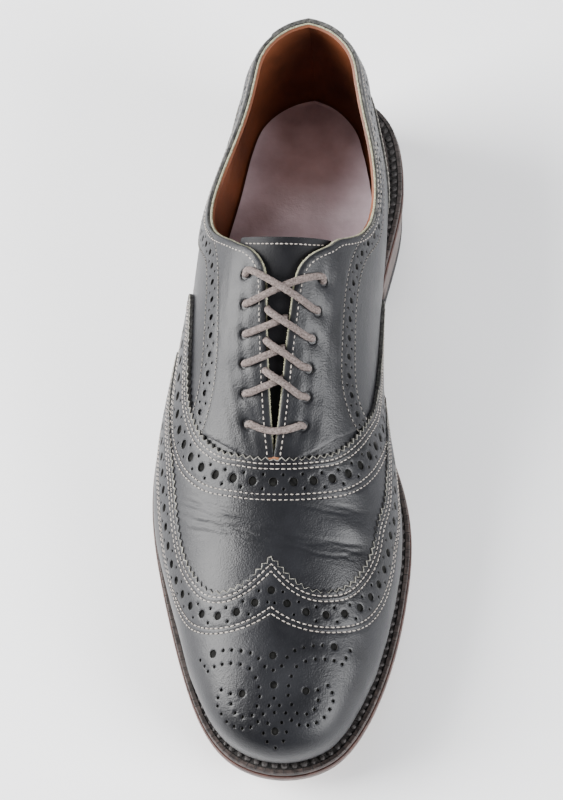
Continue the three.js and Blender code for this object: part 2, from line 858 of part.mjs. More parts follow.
const STRAP_LEVELS = smoothRows(STRAP, SPLITS);
const strapRegion = (grow) => {
  const g = grow / LENGTH;
  return ruled(
    STRAP_LEVELS.map((row) => [-row[1] - g, row[0]]),
    STRAP_LEVELS.map((row) => [row[1] + g, row[0]]),
    6,
    roundHeel,
  );
};
const strapCut = strapRegion(GAP * 3);
const strap = overlay(STRAP_THICK).intersect(strapRegion(0));

function facing(table, side) {
  const low = smoothRows(table, SPLITS).map((row) => [row[0], side * (1 - row[1])]);
  const high = low.map((row) => [row[0], side * Math.max(1 - freeEdge(row[0], side) - FACING_PAST, 0)]);
  const end = [SLIT_END + SLIT_PAST, side * (1 - table[table.length - 1][1])];
  low.push(end);
  high.push([SLIT_END + SLIT_PAST, 0]);
  const region = ruled(low, high, 5, overRidge);
  return overlay(FACING_THICK).intersect(region).subtract(vampCut).subtract(strapCut).subtract(punches);
}
const facingLateral = facing(BAND_LATERAL, -1);
const facingMedial = facing(BAND_MEDIAL, 1);

const counterTop = smoothRows(COUNTER, SPLITS);
const counterLow = counterTop.map((row) => [row[0], -FOOT_PAST]);
const counterRegion = ruled(counterTop.slice(1, -1), counterLow.slice(1, -1), 4, roundHeel);
const counter = overlay(COUNTER_THICK).intersect(counterRegion);

const outsole = stack([
  soleLoop(OUTSOLE_CHAMFER, underside),
  soleLoop(0, (s) => underside(s) + OUTSOLE_CHAMFER),
  soleLoop(0, (s) => underside(s) + OUTSOLE),
]);

// Foot of the upper's inside, which bounds the insole
function footLoop(inset, height) {
  const rows = [];
  const places = PLACES.filter((v, i) => i % 2 === 0 || v > TOE_POLE || v < HEEL_POLE);
  const point = (v, side) => {
    const s = section(v, side);
    const r = s.wide - SOLE_TUCK - inset;
    const along = s.from[0] + s.way[0] * r;
    return new THREE.Vector3(s.from[1] + s.way[1] * r, LENGTH / 2 - along, height(along / LENGTH));
  };
  for (const v of places) rows.push(point(v, -1));
  for (const v of [...places].reverse()) rows.push(point(v, 1));
  return rows;
}
const INSOLE_INSET = WALL + 3 * GAP;
const insole = stack([
  footLoop(INSOLE_INSET, onOutsole(0)),
  footLoop(INSOLE_INSET, onOutsole(WELT + GAP + INSOLE)),
]);
const weltHole = stack([
  footLoop(INSOLE_INSET - GAP, onOutsole(-WELT / 2)),
  footLoop(INSOLE_INSET - GAP, onOutsole(WELT * 1.5)),
]);
const welt = stack([
  soleLoop(WELT_STEP, onOutsole(0)),
  soleLoop(WELT_STEP, onOutsole(WELT - WELT_STEP)),
  soleLoop(WELT_STEP * 2, onOutsole(WELT)),
]).subtract(weltHole);

// Heel block under the seat, cut square at its breast
const breastAt = HEEL_LENGTH / LENGTH;
const rowBefore = OUTLINE.findIndex((row) => row[0] > breastAt) - 1;
const rowShare = (breastAt - OUTLINE[rowBefore][0]) / (OUTLINE[rowBefore + 1][0] - OUTLINE[rowBefore][0]);
const heelRows = rowBefore + rowShare;
const heelInset = OUTSOLE_CHAMFER;
const heelStack = stack([
  soleLoop(heelInset, () => TOP_LIFT + GAP, heelRows),
  soleLoop(heelInset, (s) => underside(s) - GAP, heelRows),
]);
const topLift = stack([
  soleLoop(heelInset + LIFT_CHAMFER, () => 0, heelRows),
  soleLoop(heelInset, () => heelInset, heelRows),
  soleLoop(heelInset, () => TOP_LIFT, heelRows),
]);

// Tongue under the facings
const tongue = (() => {
  const cols = 10;
  const across = 8;
  const outer = [];
  const inner = [];
  const faces = [];
  for (let i = 0; i <= cols; i += 1) {
    const t = i / cols;
    const v = TONGUE_FROM + (TONGUE_TO - TONGUE_FROM) * t;
    const half = TONGUE_HALF * (1 - TONGUE_TAPER * t) * Math.min(1, TONGUE_TOP + t * TONGUE_FLARE);
    for (let k = 0; k <= across; k += 1) {
      const x = half * (2 * k / across - 1);
      const side = x < 0 ? -1 : 1;
      const h = shareAtReach(v, side, Math.abs(x));
      outer.push(skin(v, side, h, -WALL - TONGUE_DROP));
      inner.push(skin(v, side, h, -WALL - TONGUE_DROP - TONGUE_THICK));
    }
  }
  for (let i = 0; i < cols; i += 1) {
    for (let k = 0; k < across; k += 1) {
      const a = i * (across + 1) + k;
      const b = a + across + 1;
      faces.push([a, b, b + 1], [a, b + 1, a + 1]);
    }
  }
  return sheet(outer, inner, faces);
})();

// A round cord through a list of points
function cord(path, radius) {
  const points = [];
  const tris = [];
  const n = LACE_SIDES;
  path.forEach((p, i) => {
    const a = path[Math.max(i - 1, 0)];
    const b = path[Math.min(i + 1, path.length - 1)];
    const along = b.clone().sub(a).normalize();
    const u = new THREE.Vector3(0, 0, 1).cross(along).normalize();
    const w = along.clone().cross(u);
    for (let k = 0; k < n; k += 1) {
      const t = 2 * Math.PI * (k + 0.5) / n;
      points.push(p.clone().addScaledVector(u, radius * Math.cos(t)).addScaledVector(w, radius * Math.sin(t)));
    }
  });
  for (let i = 0; i + 1 < path.length; i += 1) {
    for (let k = 0; k < n; k += 1) {
      const j = (k + 1) % n;
      tris.push([i * n + k, i * n + j, (i + 1) * n + j], [i * n + k, (i + 1) * n + j, (i + 1) * n + k]);
    }
  }
  const last = (path.length - 1) * n;
  for (let k = 1; k + 1 < n; k += 1) tris.push([0, k + 1, k], [last, last + k, last + k + 1]);
  return solid(points, tris);
}

// The lace from one eyelet over the slit to another, resting on the facings
const LACE_LIFT = GAP + FACING_THICK + GAP + LACE / 2 + LACE_SPARE;
function laceRun(from, to, lift, sag) {
  const path = [];
  for (let i = 0; i <= LACE_STEPS; i += 1) {
    const t = i / LACE_STEPS;
    const x = (from.side * from.x) * (1 - t) + (to.side * to.x) * t;
    const v = from.v * (1 - t) + to.v * t + sag * Math.sin(Math.PI * t);
    const side = x < 0 ? -1 : 1;
    const h = shareAtReach(v, side, Math.abs(x));
    path.push(skin(v, side, h, LACE_LIFT + lift * Math.sin(Math.PI * t)));
  }
  return cord(path, LACE / 2);
}
const laceBar = laceRun(lateralEyes[5], medialEyes[5], 0, LACE_BAR_SAG);
const strandEnd = (eye, rise) => ({ v: eye.v - rise, side: -eye.side, x: LACE_PAST });
const laceCross = CROSSINGS.map(([row, lateralRise, medialRise]) => {
  const under = laceRun(lateralEyes[row], strandEnd(lateralEyes[row], lateralRise), 0, 0);
  const over = laceRun(medialEyes[row], strandEnd(medialEyes[row], medialRise), LACE_OVER, 0);
  return under.add(over);
});
const topUnder = laceRun(medialEyes[0], lateralEyes[1], 0, 0);
const topOver = laceRun(lateralEyes[0], medialEyes[1], LACE_OVER, 0);
laceCross.push(topUnder.add(topOver));

// The part stands with the middle of its width at x = 0
const widest = (column) => Math.max(...OUTLINE.map((row) => row[column])) * BALL_WIDTH;
const middle = (widest(2) - widest(1)) / 2;

const group = new THREE.Group();
group.name = 'wingtip_shoe';
function place(name, body, finish) {
  const mesh = body.simplify(MERGE).translate([-middle, 0, 0]).getMesh();
  const geometry = new THREE.BufferGeometry();
  const count = mesh.vertProperties.length / mesh.numProp;
  const positions = new Float32Array(count * 3);
  for (let i = 0; i < count; i += 1) {
    for (let k = 0; k < 3; k += 1) positions[i * 3 + k] = mesh.vertProperties[i * mesh.numProp + k];
  }
  geometry.setAttribute('position', new THREE.BufferAttribute(positions, 3));
  geometry.setIndex(new THREE.BufferAttribute(Uint32Array.from(mesh.triVerts), 1));
  const item = new THREE.Mesh(geometry, new THREE.MeshStandardMaterial(finish));
  item.name = name;
  group.add(item);
}

place('outsole', outsole, SOLE_BROWN);
place('welt', welt, WELT_BLACK);
place('heel_stack', heelStack, SOLE_BROWN);
place('top_lift', topLift, RUBBER);
place('insole', insole, PAD_MAROON);
place('upper', upper, LEATHER);
place('wing_cap', wing, LEATHER);
place('vamp', vamp, LEATHER);
place('facing_lateral', facingLateral, LEATHER);
place('facing_medial', facingMedial, LEATHER);
place('heel_counter', counter, LEATHER_DULL);
place('back_strap', strap, LEATHER_DULL);
place('tongue', tongue, LEATHER_DULL);
place('lace_bar', laceBar, LACE_TAUPE);
laceCross.forEach((body, i) => place(`lace_crossing_${i + 1}`, body, LACE_TAUPE));

export default group;
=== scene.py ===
"""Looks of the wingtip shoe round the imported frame. Millimetres inside, metres in Blender."""

import math

import bpy
import numpy as np
from mathutils import Matrix, Vector
from mathutils.geometry import delaunay_2d_cdt


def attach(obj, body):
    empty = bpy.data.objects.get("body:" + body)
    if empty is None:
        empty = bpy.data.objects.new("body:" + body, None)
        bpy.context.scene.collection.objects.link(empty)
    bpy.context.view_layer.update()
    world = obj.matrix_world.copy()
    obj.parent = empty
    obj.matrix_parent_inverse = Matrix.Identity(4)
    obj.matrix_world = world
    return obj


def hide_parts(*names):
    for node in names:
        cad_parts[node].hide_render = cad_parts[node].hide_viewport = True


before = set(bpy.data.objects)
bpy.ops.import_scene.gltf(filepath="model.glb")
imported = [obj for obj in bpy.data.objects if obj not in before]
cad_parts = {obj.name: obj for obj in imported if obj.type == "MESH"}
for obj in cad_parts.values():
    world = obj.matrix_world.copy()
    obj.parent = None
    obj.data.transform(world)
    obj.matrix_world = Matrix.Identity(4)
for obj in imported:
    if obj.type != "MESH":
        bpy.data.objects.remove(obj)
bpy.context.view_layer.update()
MM = 0.001
RNG = np.random.default_rng(7)

# Sizes of the shoe, as in the frame
LENGTH = 310.0
BALL_WIDTH = 108.0
INSTEP = 108.0
TOE_BOX = 50.5
HEEL_SEAT = 26.5
TOE_SPRING = 13.0
FLAT_FROM = 0.60
FLAT_TO = 0.70
SPRING_POWER = 1.6
HEEL_LENGTH = 92.0
TOP_LIFT = 6.5
OUTSOLE = 5.2
WELT = 3.2
GAP = 0.3
WALL = 2.2
INSOLE = 2.6
HEEL_POLE = 0.13
TOE_POLE = 0.87
WIDEST_AT = 0.2
RIDGE_SLOPE = -0.24
SOLE_TUCK = 4.0
COLLAR_BACK = 97.0
SLIT_WIDTH = 15.0
CORNER_ROUND = 0.04
SLIT_END = 0.64
LACE = 2.9

# Sole outline: place along, lateral and medial half width, as shares of length and ball width
OUTLINE = np.array([
    [0.0, 0.0, 0.0], [0.006, 0.118, 0.118], [0.03, 0.24, 0.24], [0.07, 0.325, 0.328],
    [0.13, 0.362, 0.368], [0.2, 0.372, 0.368], [0.3, 0.392, 0.312], [0.4, 0.448, 0.278],
    [0.5, 0.533, 0.32], [0.58, 0.566, 0.4], [0.66, 0.548, 0.441], [0.74, 0.496, 0.43],
    [0.82, 0.43, 0.394], [0.89, 0.36, 0.338], [0.94, 0.29, 0.275], [0.975, 0.205, 0.2],
    [0.994, 0.105, 0.105], [1.0, 0.0, 0.0],
])

# Arch: place along, height of the underside as a share of the heel seat
ARCH = np.array([
    [0.0, 1.0], [0.12, 0.98], [0.25, 0.925], [0.33, 0.79], [0.42, 0.52], [0.51, 0.196],
    [0.57, 0.035], [0.6, 0.0],
])

# Sections of the last: place, set-in lateral and medial, height of the widest line, ridge,
# fullness lateral and medial, sideways place of the ridge
TOE_SHARE = TOE_BOX / INSTEP
SECTIONS = np.array([
    [0.000, 0.037, 0.037, 0.148, 1.072, 0.66, 0.66, 0.002],
    [0.065, 0.068, 0.090, 0.148, 1.072, 0.92, 0.70, 0.002],
    [0.130, 0.062, 0.092, 0.148, 1.072, 1.40, 1.07, 0.002],
    [0.200, 0.039, 0.056, 0.139, 1.065, 1.20, 0.94, -0.008],
    [0.300, 0.000, -0.002, 0.130, 1.060, 0.90, 0.70, -0.018],
    [0.400, 0.023, -0.023, 0.130, 1.000, 1.00, 0.95, -0.037],
    [0.500, 0.056, 0.008, 0.120, 0.866, 1.05, 0.95, -0.051],
    [0.600, 0.051, 0.055, 0.111, 0.718, 1.05, 0.90, -0.054],
    [0.700, 0.041, 0.056, 0.102, 0.602, 0.95, 0.85, -0.052],
    [0.800, 0.051, 0.056, 0.093, 0.519, 0.85, 0.78, -0.046],
    [0.870, 0.051, 0.056, 0.093, TOE_SHARE, 0.80, 0.74, -0.039],
    [0.935, 0.051, 0.054, 0.093, TOE_SHARE, 0.78, 0.74, -0.039],
    [1.000, 0.051, 0.051, 0.093, TOE_SHARE, 0.76, 0.76, -0.039],
])

# Topline: place, height lateral and medial as shares of the collar at the back
TOPLINE = np.array([
    [0.0, 1.0, 1.0], [0.08, 0.978, 0.978], [0.16, 0.928, 0.928], [0.24, 0.88, 0.885],
    [0.3, 0.868, 0.866], [0.335, 0.905, 0.895], [0.36, 0.965, 0.965], [0.38, 1.03, 1.045],
    [0.4, 1.1, 1.12], [0.43, 1.34, 1.34],
])

# Slit: place, half width as a share of the slit width
SLIT = np.array([
    [0.36, 1.36], [0.372, 1.32], [0.38, 1.27], [0.387, 1.18], [0.394, 1.03], [0.402, 0.84],
    [0.411, 0.66], [0.424, 0.49], [0.445, 0.385], [0.473, 0.335], [0.52, 0.257], [0.575, 0.163],
    [0.62, 0.06], [0.64, 0.0],
])

# Edges of the leather pieces: place along, share of the way up from feather to ridge
WING_LATERAL = [
    [0.435, -0.1], [0.44, 0.1], [0.45, 0.26], [0.466, 0.345], [0.507, 0.403], [0.556, 0.464],
    [0.605, 0.515], [0.657, 0.542], [0.712, 0.541], [0.749, 0.554], [0.773, 0.598], [0.789, 0.652],
    [0.796, 0.722], [0.794, 0.805], [0.781, 0.9], [0.757, 1.0],
]
WING_MEDIAL = [
    [0.462, -0.1], [0.47, 0.06], [0.49, 0.19], [0.522, 0.272], [0.554, 0.34], [0.586, 0.39],
    [0.622, 0.429], [0.661, 0.466], [0.694, 0.514], [0.719, 0.527], [0.745, 0.552], [0.769, 0.602],
    [0.785, 0.66], [0.792, 0.727], [0.794, 0.798], [0.79, 0.863], [0.778, 0.928], [0.757, 1.0],
]
THROAT_LATERAL = [
    [0.372, -0.1], [0.379, 0.12], [0.388, 0.3], [0.402, 0.405], [0.43, 0.463], [0.469, 0.516],
    [0.505, 0.555], [0.541, 0.588], [0.568, 0.622], [0.59, 0.662], [0.607, 0.702], [0.62, 0.748],
    [0.63, 0.8], [0.636, 0.87], [0.64, 0.935], [0.641, 1.0],
]
THROAT_MEDIAL = [
    [0.335, -0.1], [0.345, 0.06], [0.368, 0.155], [0.4, 0.2], [0.432, 0.24], [0.463, 0.288],
    [0.489, 0.335], [0.52, 0.4], [0.547, 0.463], [0.567, 0.524], [0.584, 0.577], [0.6, 0.628],
    [0.614, 0.68], [0.625, 0.733], [0.632, 0.79], [0.637, 0.862], [0.64, 0.93], [0.641, 1.0],
]
BAND_LATERAL = [
    [0.0, 0.399], [0.065, 0.454], [0.13, 0.51], [0.2, 0.458], [0.27, 0.393], [0.32, 0.385],
    [0.35, 0.44], [0.375, 0.522], [0.393, 0.564], [0.42, 0.593], [0.459, 0.619], [0.5, 0.641],
    [0.535, 0.646], [0.56, 0.632], [0.585, 0.6],
]
BAND_MEDIAL = [
    [0.0, 0.399], [0.065, 0.395], [0.13, 0.445], [0.2, 0.417], [0.25, 0.373], [0.295, 0.347],
    [0.332, 0.382], [0.365, 0.475], [0.391, 0.526], [0.415, 0.548], [0.441, 0.559], [0.47, 0.565],
    [0.496, 0.57], [0.522, 0.577], [0.541, 0.573], [0.556, 0.555], [0.57, 0.51],
]
# Counter edge from the lateral to the medial feather, and the half of the strap: share up, place
COUNTER = [
    [-0.235, -0.1], [-0.228, 0.08], [-0.195, 0.223], [-0.145, 0.315], [-0.09, 0.322],
    [-0.045, 0.304], [0.0, 0.33], [0.045, 0.272], [0.09, 0.266], [0.145, 0.27], [0.195, 0.21],
    [0.228, 0.08], [0.235, -0.1],
]
STRAP = [
    [0.346, 0.012], [0.368, 0.015], [0.395, 0.021], [0.43, 0.032], [0.485, 0.045], [0.679, 0.052],
]
# Eyelets from the collar down: place along, distance from the ridge as a share of ball width
EYES_LATERAL = [
    [0.430, 0.130], [0.465, 0.122], [0.499, 0.116], [0.532, 0.115], [0.566, 0.109], [0.601, 0.097],
]
EYES_MEDIAL = [[0.432, 0.150], [0.468, 0.137], [0.501, 0.124], [0.535, 0.115], [0.568, 0.111], [0.601, 0.103]]

# The shoe stands with the middle of its width at zero
MIDDLE = (OUTLINE[:, 2].max() - OUTLINE[:, 1].max()) * BALL_WIDTH / 2

# Levels of the leather layers over the last
FACING_TOP = 1.1
COUNTER_TOP = 1.1
VAMP_TOP = 1.8
WING_TOP = 2.5
STRAP_TOP = 1.7

# Tongue: place of its top edge, dip of the edge at a reach to the sides, end under the vamp
TONGUE_FROM = 0.388
TONGUE_DIP = 2.4
TONGUE_REACH = 16.7
TONGUE_TO = 0.665


def spline(xs, ys, closed=False):
    """Cubic curve through points, natural or closed."""
    xs = np.asarray(xs, float)
    ys = np.asarray(ys, float)
    h = np.diff(xs)
    n = len(xs) - 1 if closed else len(xs)
    a = np.zeros((n, n))
    r = np.zeros(n)
    for i in range(n):
        if not closed and i in (0, n - 1):
            a[i, i] = 1
            continue
        before = h[i - 1] if i else h[n - 1]
        last = ys[i - 1] if i else ys[n - 1]
        a[i, (i - 1) % n] += before
        a[i, i] += 2 * (before + h[i])
        a[i, (i + 1) % n] += h[i]
        r[i] = 6 * ((ys[i + 1] - ys[i]) / h[i] - (ys[i] - last) / before)
    m = np.linalg.solve(a, r)
    if closed:
        m = np.append(m, m[0])

    def at(x):
        x = np.asarray(x, float)
        i = np.clip(np.searchsorted(xs, x, side="right") - 1, 0, len(xs) - 2)
        hh = xs[i + 1] - xs[i]
        p = (xs[i + 1] - x) / hh
        q = (x - xs[i]) / hh
        bend = (p**3 - p) * m[i] + (q**3 - q) * m[i + 1]
        return p * ys[i] + q * ys[i + 1] + bend * hh**2 / 6

    return at


def run_of(line):
    """Length along a polyline up to each of its points."""
    return np.concatenate([[0], np.cumsum(np.linalg.norm(np.diff(line, axis=0), axis=1))])


def rows_curve(rows, per=12):
    """Smooth polyline through table rows."""
    rows = np.asarray(rows, float)
    at = np.arange(len(rows))
    t = np.linspace(0, len(rows) - 1, (len(rows) - 1) * per + 1)
    return np.column_stack([spline(at, rows[:, k])(t) for k in range(rows.shape[1])])


# Sole outline
half_l = np.column_stack([OUTLINE[:, 0] * LENGTH, -OUTLINE[:, 1] * BALL_WIDTH])
half_m = np.column_stack([OUTLINE[:, 0] * LENGTH, OUTLINE[:, 2] * BALL_WIDTH])[::-1]
loop_rows = np.vstack([half_l, half_m[1:]])
loop_at = np.concatenate([[0], np.cumsum(np.sqrt(np.hypot(*np.diff(loop_rows, axis=0).T)))])
loop_u = spline(loop_at, loop_rows[:, 0], True)
loop_x = spline(loop_at, loop_rows[:, 1], True)
DENSE = np.column_stack([f(np.linspace(0, loop_at[-1], 2400)) for f in (loop_u, loop_x)])
LAST_ROW = len(loop_rows) - 1

arch = spline(ARCH[:, 0], ARCH[:, 1] * HEEL_SEAT)


def underside(share):
    """Height of the sole's underside: arch behind, flat tread, toe spring in front."""
    share = np.asarray(share, float)
    front = TOE_SPRING * (np.clip(share - FLAT_TO, 0, None) / (1 - FLAT_TO)) ** SPRING_POWER
    back = np.maximum(arch(np.clip(share, 0, FLAT_FROM)), 0)
    return np.where(share < FLAT_FROM, back, front)


def foot_height(share):
    return underside(share) + OUTSOLE + WELT + 2 * GAP


COLS = [spline(SECTIONS[:, 0], SECTIONS[:, k]) for k in range(1, 8)]


def spoke(v, side):
    """Start and direction in plan (along, across) of each section."""
    v = np.asarray(v, float)
    side = np.broadcast_to(side, v.shape)
    heel = np.pi / 2 * np.clip(v / HEEL_POLE, 0, 1)
    toe = np.pi / 2 * np.clip((1 - v) / (1 - TOE_POLE), 0, 1)
    along = np.clip(v, HEEL_POLE, TOE_POLE)
    wa = np.where(v < HEEL_POLE, -np.cos(heel), np.where(v > TOE_POLE, np.cos(toe), 0.0))
    wx = side * np.where(v < HEEL_POLE, np.sin(heel), np.where(v > TOE_POLE, np.sin(toe), 1.0))
    return along * LENGTH, COLS[6](along) * BALL_WIDTH, wa, wx


GRID_V = np.linspace(0, 1, 1601)


def reach_table(side):
    """Distance from the ridge to the sole's outline along each section."""
    oa, ox, wa, wx = spoke(GRID_V, side)
    da = DENSE[None, :, 0] - oa[:, None]
    dx = DENSE[None, :, 1] - ox[:, None]
    c = da * wx[:, None] - dx * wa[:, None]
    f = da * wa[:, None] + dx * wx[:, None]
    c0, c1, f0, f1 = c[:, :-1], c[:, 1:], f[:, :-1], f[:, 1:]
    cross = (c0 * c1 <= 0) & (c0 != c1)
    t = np.where(cross, c0 / np.where(c0 == c1, 1, c0 - c1), 0)
    far = np.where(cross, f0 + t * (f1 - f0), -1)
    return far.max(1)


REACH = {s: reach_table(s) for s in (-1, 1)}


def section(v, side):
    """Start, direction, reach and levels of a section of the last."""
    v = np.clip(np.asarray(v, float), 0, 1)
    side = np.broadcast_to(np.asarray(side), v.shape)
    oa, ox, wa, wx = spoke(v, side)
    far = np.where(side < 0, np.interp(v, GRID_V, REACH[-1]), np.interp(v, GRID_V, REACH[1]))
    wide = far - np.where(side < 0, COLS[0](v), COLS[1](v)) * BALL_WIDTH
    foot = foot_height((oa + wa * (wide - SOLE_TUCK)) / LENGTH)
    mid = foot + COLS[2](v) * BALL_WIDTH
    top = COLS[3](np.clip(v, HEEL_POLE, TOE_POLE)) * INSTEP
    full = np.where(side < 0, COLS[4](v), COLS[5](v))
    nose = np.where(v > TOE_POLE, wa * RIDGE_SLOPE, 0)
    return oa, ox, wa, wx, wide, foot, mid, top, full, nose


def last(v, side, h):
    """Points of the last in the part's frame."""
    oa, ox, wa, wx, wide, foot, mid, top, full, nose = section(v, side)
    h = np.asarray(h, float)
    t = h / WIDEST_AT
    r_low = wide - SOLE_TUCK * (1 - t) ** 2
    z_low = foot + (mid - foot) * t
    turn = np.pi / 2 * (1 - (np.clip(h, WIDEST_AT, 1) - WIDEST_AT) / (1 - WIDEST_AT))
    q = np.sin(turn)
    z_up = mid + (top - mid) * np.maximum(np.cos(turn), 0) ** full + nose * wide * q * (1 - q**2)
    r = np.where(h < WIDEST_AT, r_low, wide * q)
    z = np.where(h < WIDEST_AT, z_low, z_up)
    return np.stack([ox + wx * r - MIDDLE, LENGTH / 2 - (oa + wa * r), z], -1)


# Arc length down each section from the ridge
ARC_V = np.linspace(0, 1, 401)
ARC_H = np.linspace(-0.12, 1, 561)
ARC = {}
for s in (-1, 1):
    vv, hh = np.meshgrid(ARC_V, ARC_H, indexing="ij")
    pts = last(vv, s, hh)
    run = np.linalg.norm(np.diff(pts, axis=1), axis=2)
    up = np.concatenate([np.zeros((len(ARC_V), 1)), np.cumsum(run, 1)], 1)
    ARC[s] = up[:, -1:] - up
ZERO = int(np.argmin(abs(ARC_H)))
FULL_ARC = {s: ARC[s][:, ZERO] for s in (-1, 1)}


def lookup(table, i, j):
    """Value between the cells of a table."""
    k = i.astype(int)
    m = j.astype(int)
    f = i - k
    g = j - m
    low = table[k, m] * (1 - f) + table[k + 1, m] * f
    high = table[k, m + 1] * (1 - f) + table[k + 1, m + 1] * f
    return low * (1 - g) + high * g


def cell(v):
    """Place along as a row of the arc tables."""
    return np.clip(v * (len(ARC_V) - 1), 0, len(ARC_V) - 1.0001)


def arc_of(v, side, h):
    """Distance from the ridge down the section to share h."""
    v = np.atleast_1d(np.asarray(v, float))
    h = np.broadcast_to(np.asarray(h, float), v.shape)
    j = np.clip((h - ARC_H[0]) / (ARC_H[1] - ARC_H[0]), 0, len(ARC_H) - 1.0001)
    return lookup(ARC[side], cell(v), j)


# Share up the section by distance from the ridge, as a table
RHO = np.linspace(0, 130, 521)
SHARE = {}
for s in (-1, 1):
    SHARE[s] = np.stack([np.interp(RHO, ARC[s][i][::-1], ARC_H[::-1]) for i in range(len(ARC_V))])


def share_at(v, side, rho):
    v = np.asarray(v, float)
    j = np.clip(rho / (RHO[1] - RHO[0]), 0, len(RHO) - 1.0001)
    lateral = np.broadcast_to(side, v.shape) < 0
    return np.where(lateral, lookup(SHARE[-1], cell(v), j), lookup(SHARE[1], cell(v), j))


POLE_X = TOE_POLE * LENGTH


def from_top(xy):
    """Flat pattern over the ridge and round the toe to (v, side, h)."""
    x = xy[..., 0]
    y = xy[..., 1]
    side = np.where(y < 0, -1, 1)
    rho_toe = np.hypot(x - POLE_X, y)
    angle = np.arctan2(np.abs(y), x - POLE_X)
    v = np.where(x <= POLE_X, x / LENGTH, 1 - (1 - TOE_POLE) * angle / (np.pi / 2))
    rho = np.where(x <= POLE_X, np.abs(y), rho_toe)
    v = np.clip(v, 0, 1)
    return v, side, share_at(v, side, rho)


def to_top(v, side, h):
    """(v, side, h) to the flat pattern over the ridge."""
    v = np.asarray(v, float)
    rho = arc_of(v, side, h)
    angle = np.pi / 2 * np.clip((1 - v) / (1 - TOE_POLE), 0, 1)
    x = np.where(v <= TOE_POLE, v * LENGTH, POLE_X + rho * np.cos(angle))
    y = side * np.where(v <= TOE_POLE, rho, rho * np.sin(angle))
    return np.column_stack([x, y])


# Run round the shoe at mid height, from the heel's back, for the side pattern
MID_SHARE = 0.42
SIDE_RUN = {}
for s in (-1, 1):
    p = last(GRID_V, s, np.full(GRID_V.shape, MID_SHARE))
    SIDE_RUN[s] = run_of(p)


def from_side(wz):
    """Side pattern (run round, rise from the feather) to (v, side, h)."""
    w = wz[..., 0]
    side = np.where(w < 0, -1, 1)
    v = np.where(side < 0, np.interp(-w, SIDE_RUN[-1], GRID_V), np.interp(w, SIDE_RUN[1], GRID_V))
    full = np.where(side < 0, np.interp(v, ARC_V, FULL_ARC[-1]), np.interp(v, ARC_V, FULL_ARC[1]))
    return v, side, share_at(v, side, np.clip(full - wz[..., 1], 0, None))


def to_side(v, side, h):
    """(v, side, h) to the side pattern."""
    v = np.asarray(v, float)
    w = side * np.interp(v, GRID_V, SIDE_RUN[side])
    return np.column_stack([w, np.interp(v, ARC_V, FULL_ARC[side]) - arc_of(v, side, h)])


def on_last(pattern, xy, step=0.6):
    """Points and outward normals for pattern places."""
    xy = np.asarray(xy, float)
    p = last(*pattern(xy))
    ex = np.array([step, 0.0])
    ey = np.array([0.0, step])
    a = last(*pattern(xy + ex)) - last(*pattern(xy - ex))
    b = last(*pattern(xy + ey)) - last(*pattern(xy - ey))
    n = np.cross(a, b)
    n /= np.linalg.norm(n, axis=-1, keepdims=True) + 1e-12
    core = np.stack([np.full(len(p), -MIDDLE), p[:, 1] * 0.93, np.full(len(p), 25.0)], -1)
    flip = np.sign((n * (p - core)).sum(-1, keepdims=True))
    return p, n * flip


def share_at_height(v, side, z):
    """Share of the way up a section where it has a height."""
    s = section(v, side)
    level = np.clip((z - s[6]) / (s[7] - s[6]), 0, 1)
    return 1 - (1 - WIDEST_AT) * np.arccos(level ** (1 / s[8])) / (np.pi / 2)


def share_at_reach(v, side, x):
    """Share of the way up a section where it has a distance from the ridge."""
    s = section(v, side)
    return 1 - (1 - WIDEST_AT) * np.arcsin(np.clip(x / s[4], 0, 1)) / (np.pi / 2)


TOP_Z = {s: spline(TOPLINE[:, 0], TOPLINE[:, k] * COLLAR_BACK) for s, k in ((-1, 1), (1, 2))}
SLIT_X = spline(SLIT[:, 0], SLIT[:, 1] * SLIT_WIDTH)


def free_edge(v, side):
    """Share of the way up where the upper ends: topline, rounded corner, slit."""
    v = np.asarray(v, float)
    slit = np.where(v > SLIT[0, 0], share_at_reach(v, side, SLIT_X(np.clip(v, SLIT[0, 0], SLIT_END))), 1)
    slit = np.where(v >= SLIT_END, 1, slit)
    top = share_at_height(v, side, TOP_Z[side](np.clip(v, 0, TOPLINE[-1, 0])))
    top = np.where(v >= TOPLINE[-1, 0], 2.0, top)
    t = np.maximum(CORNER_ROUND - np.abs(slit - top), 0) / CORNER_ROUND
    return np.minimum(slit, top) - t * t * CORNER_ROUND / 4


def resample(line, pitch, closed=False):
    """Even points along a polyline."""
    line = np.asarray(line, float)
    if closed:
        line = np.vstack([line, line[:1]])
    run = run_of(line)
    n = max(int(round(run[-1] / pitch)), 2)
    t = np.linspace(0, run[-1], n + 1)
    out = np.column_stack([np.interp(t, run, line[:, k]) for k in range(2)])
    return out[:-1] if closed else out


def normals2(line):
    """Unit normals of a flat polyline, to its left."""
    d = np.gradient(line, axis=0)
    d /= np.hypot(d[:, 0], d[:, 1])[:, None] + 1e-12
    return np.column_stack([-d[:, 1], d[:, 0]])


def offset(line, distance):
    """Polyline moved sideways, to its left for a positive distance."""
    fine = resample(line, 0.5)
    moved = fine + normals2(fine) * distance
    keep = np.ones(len(moved), bool)
    step = max(int(abs(distance) / 0.5), 1)
    for i in range(len(moved)):
        lo = max(i - 4 * step, 0)
        hi = min(i + 4 * step + 1, len(fine))
        if np.hypot(*(fine[lo:hi] - moved[i]).T).min() < abs(distance) * 0.985:
            keep[i] = False
    return moved[keep]


def gimp(line, pitch=3.0, depth=1.3):
    """A zigzag cut along a line."""
    pts = resample(line, pitch / 2)
    n = normals2(pts)
    k = np.where(np.arange(len(pts)) % 2 == 0, 0.5, -0.5)
    k[0] = k[-1] = 0
    return pts + n * (k * depth)[:, None]


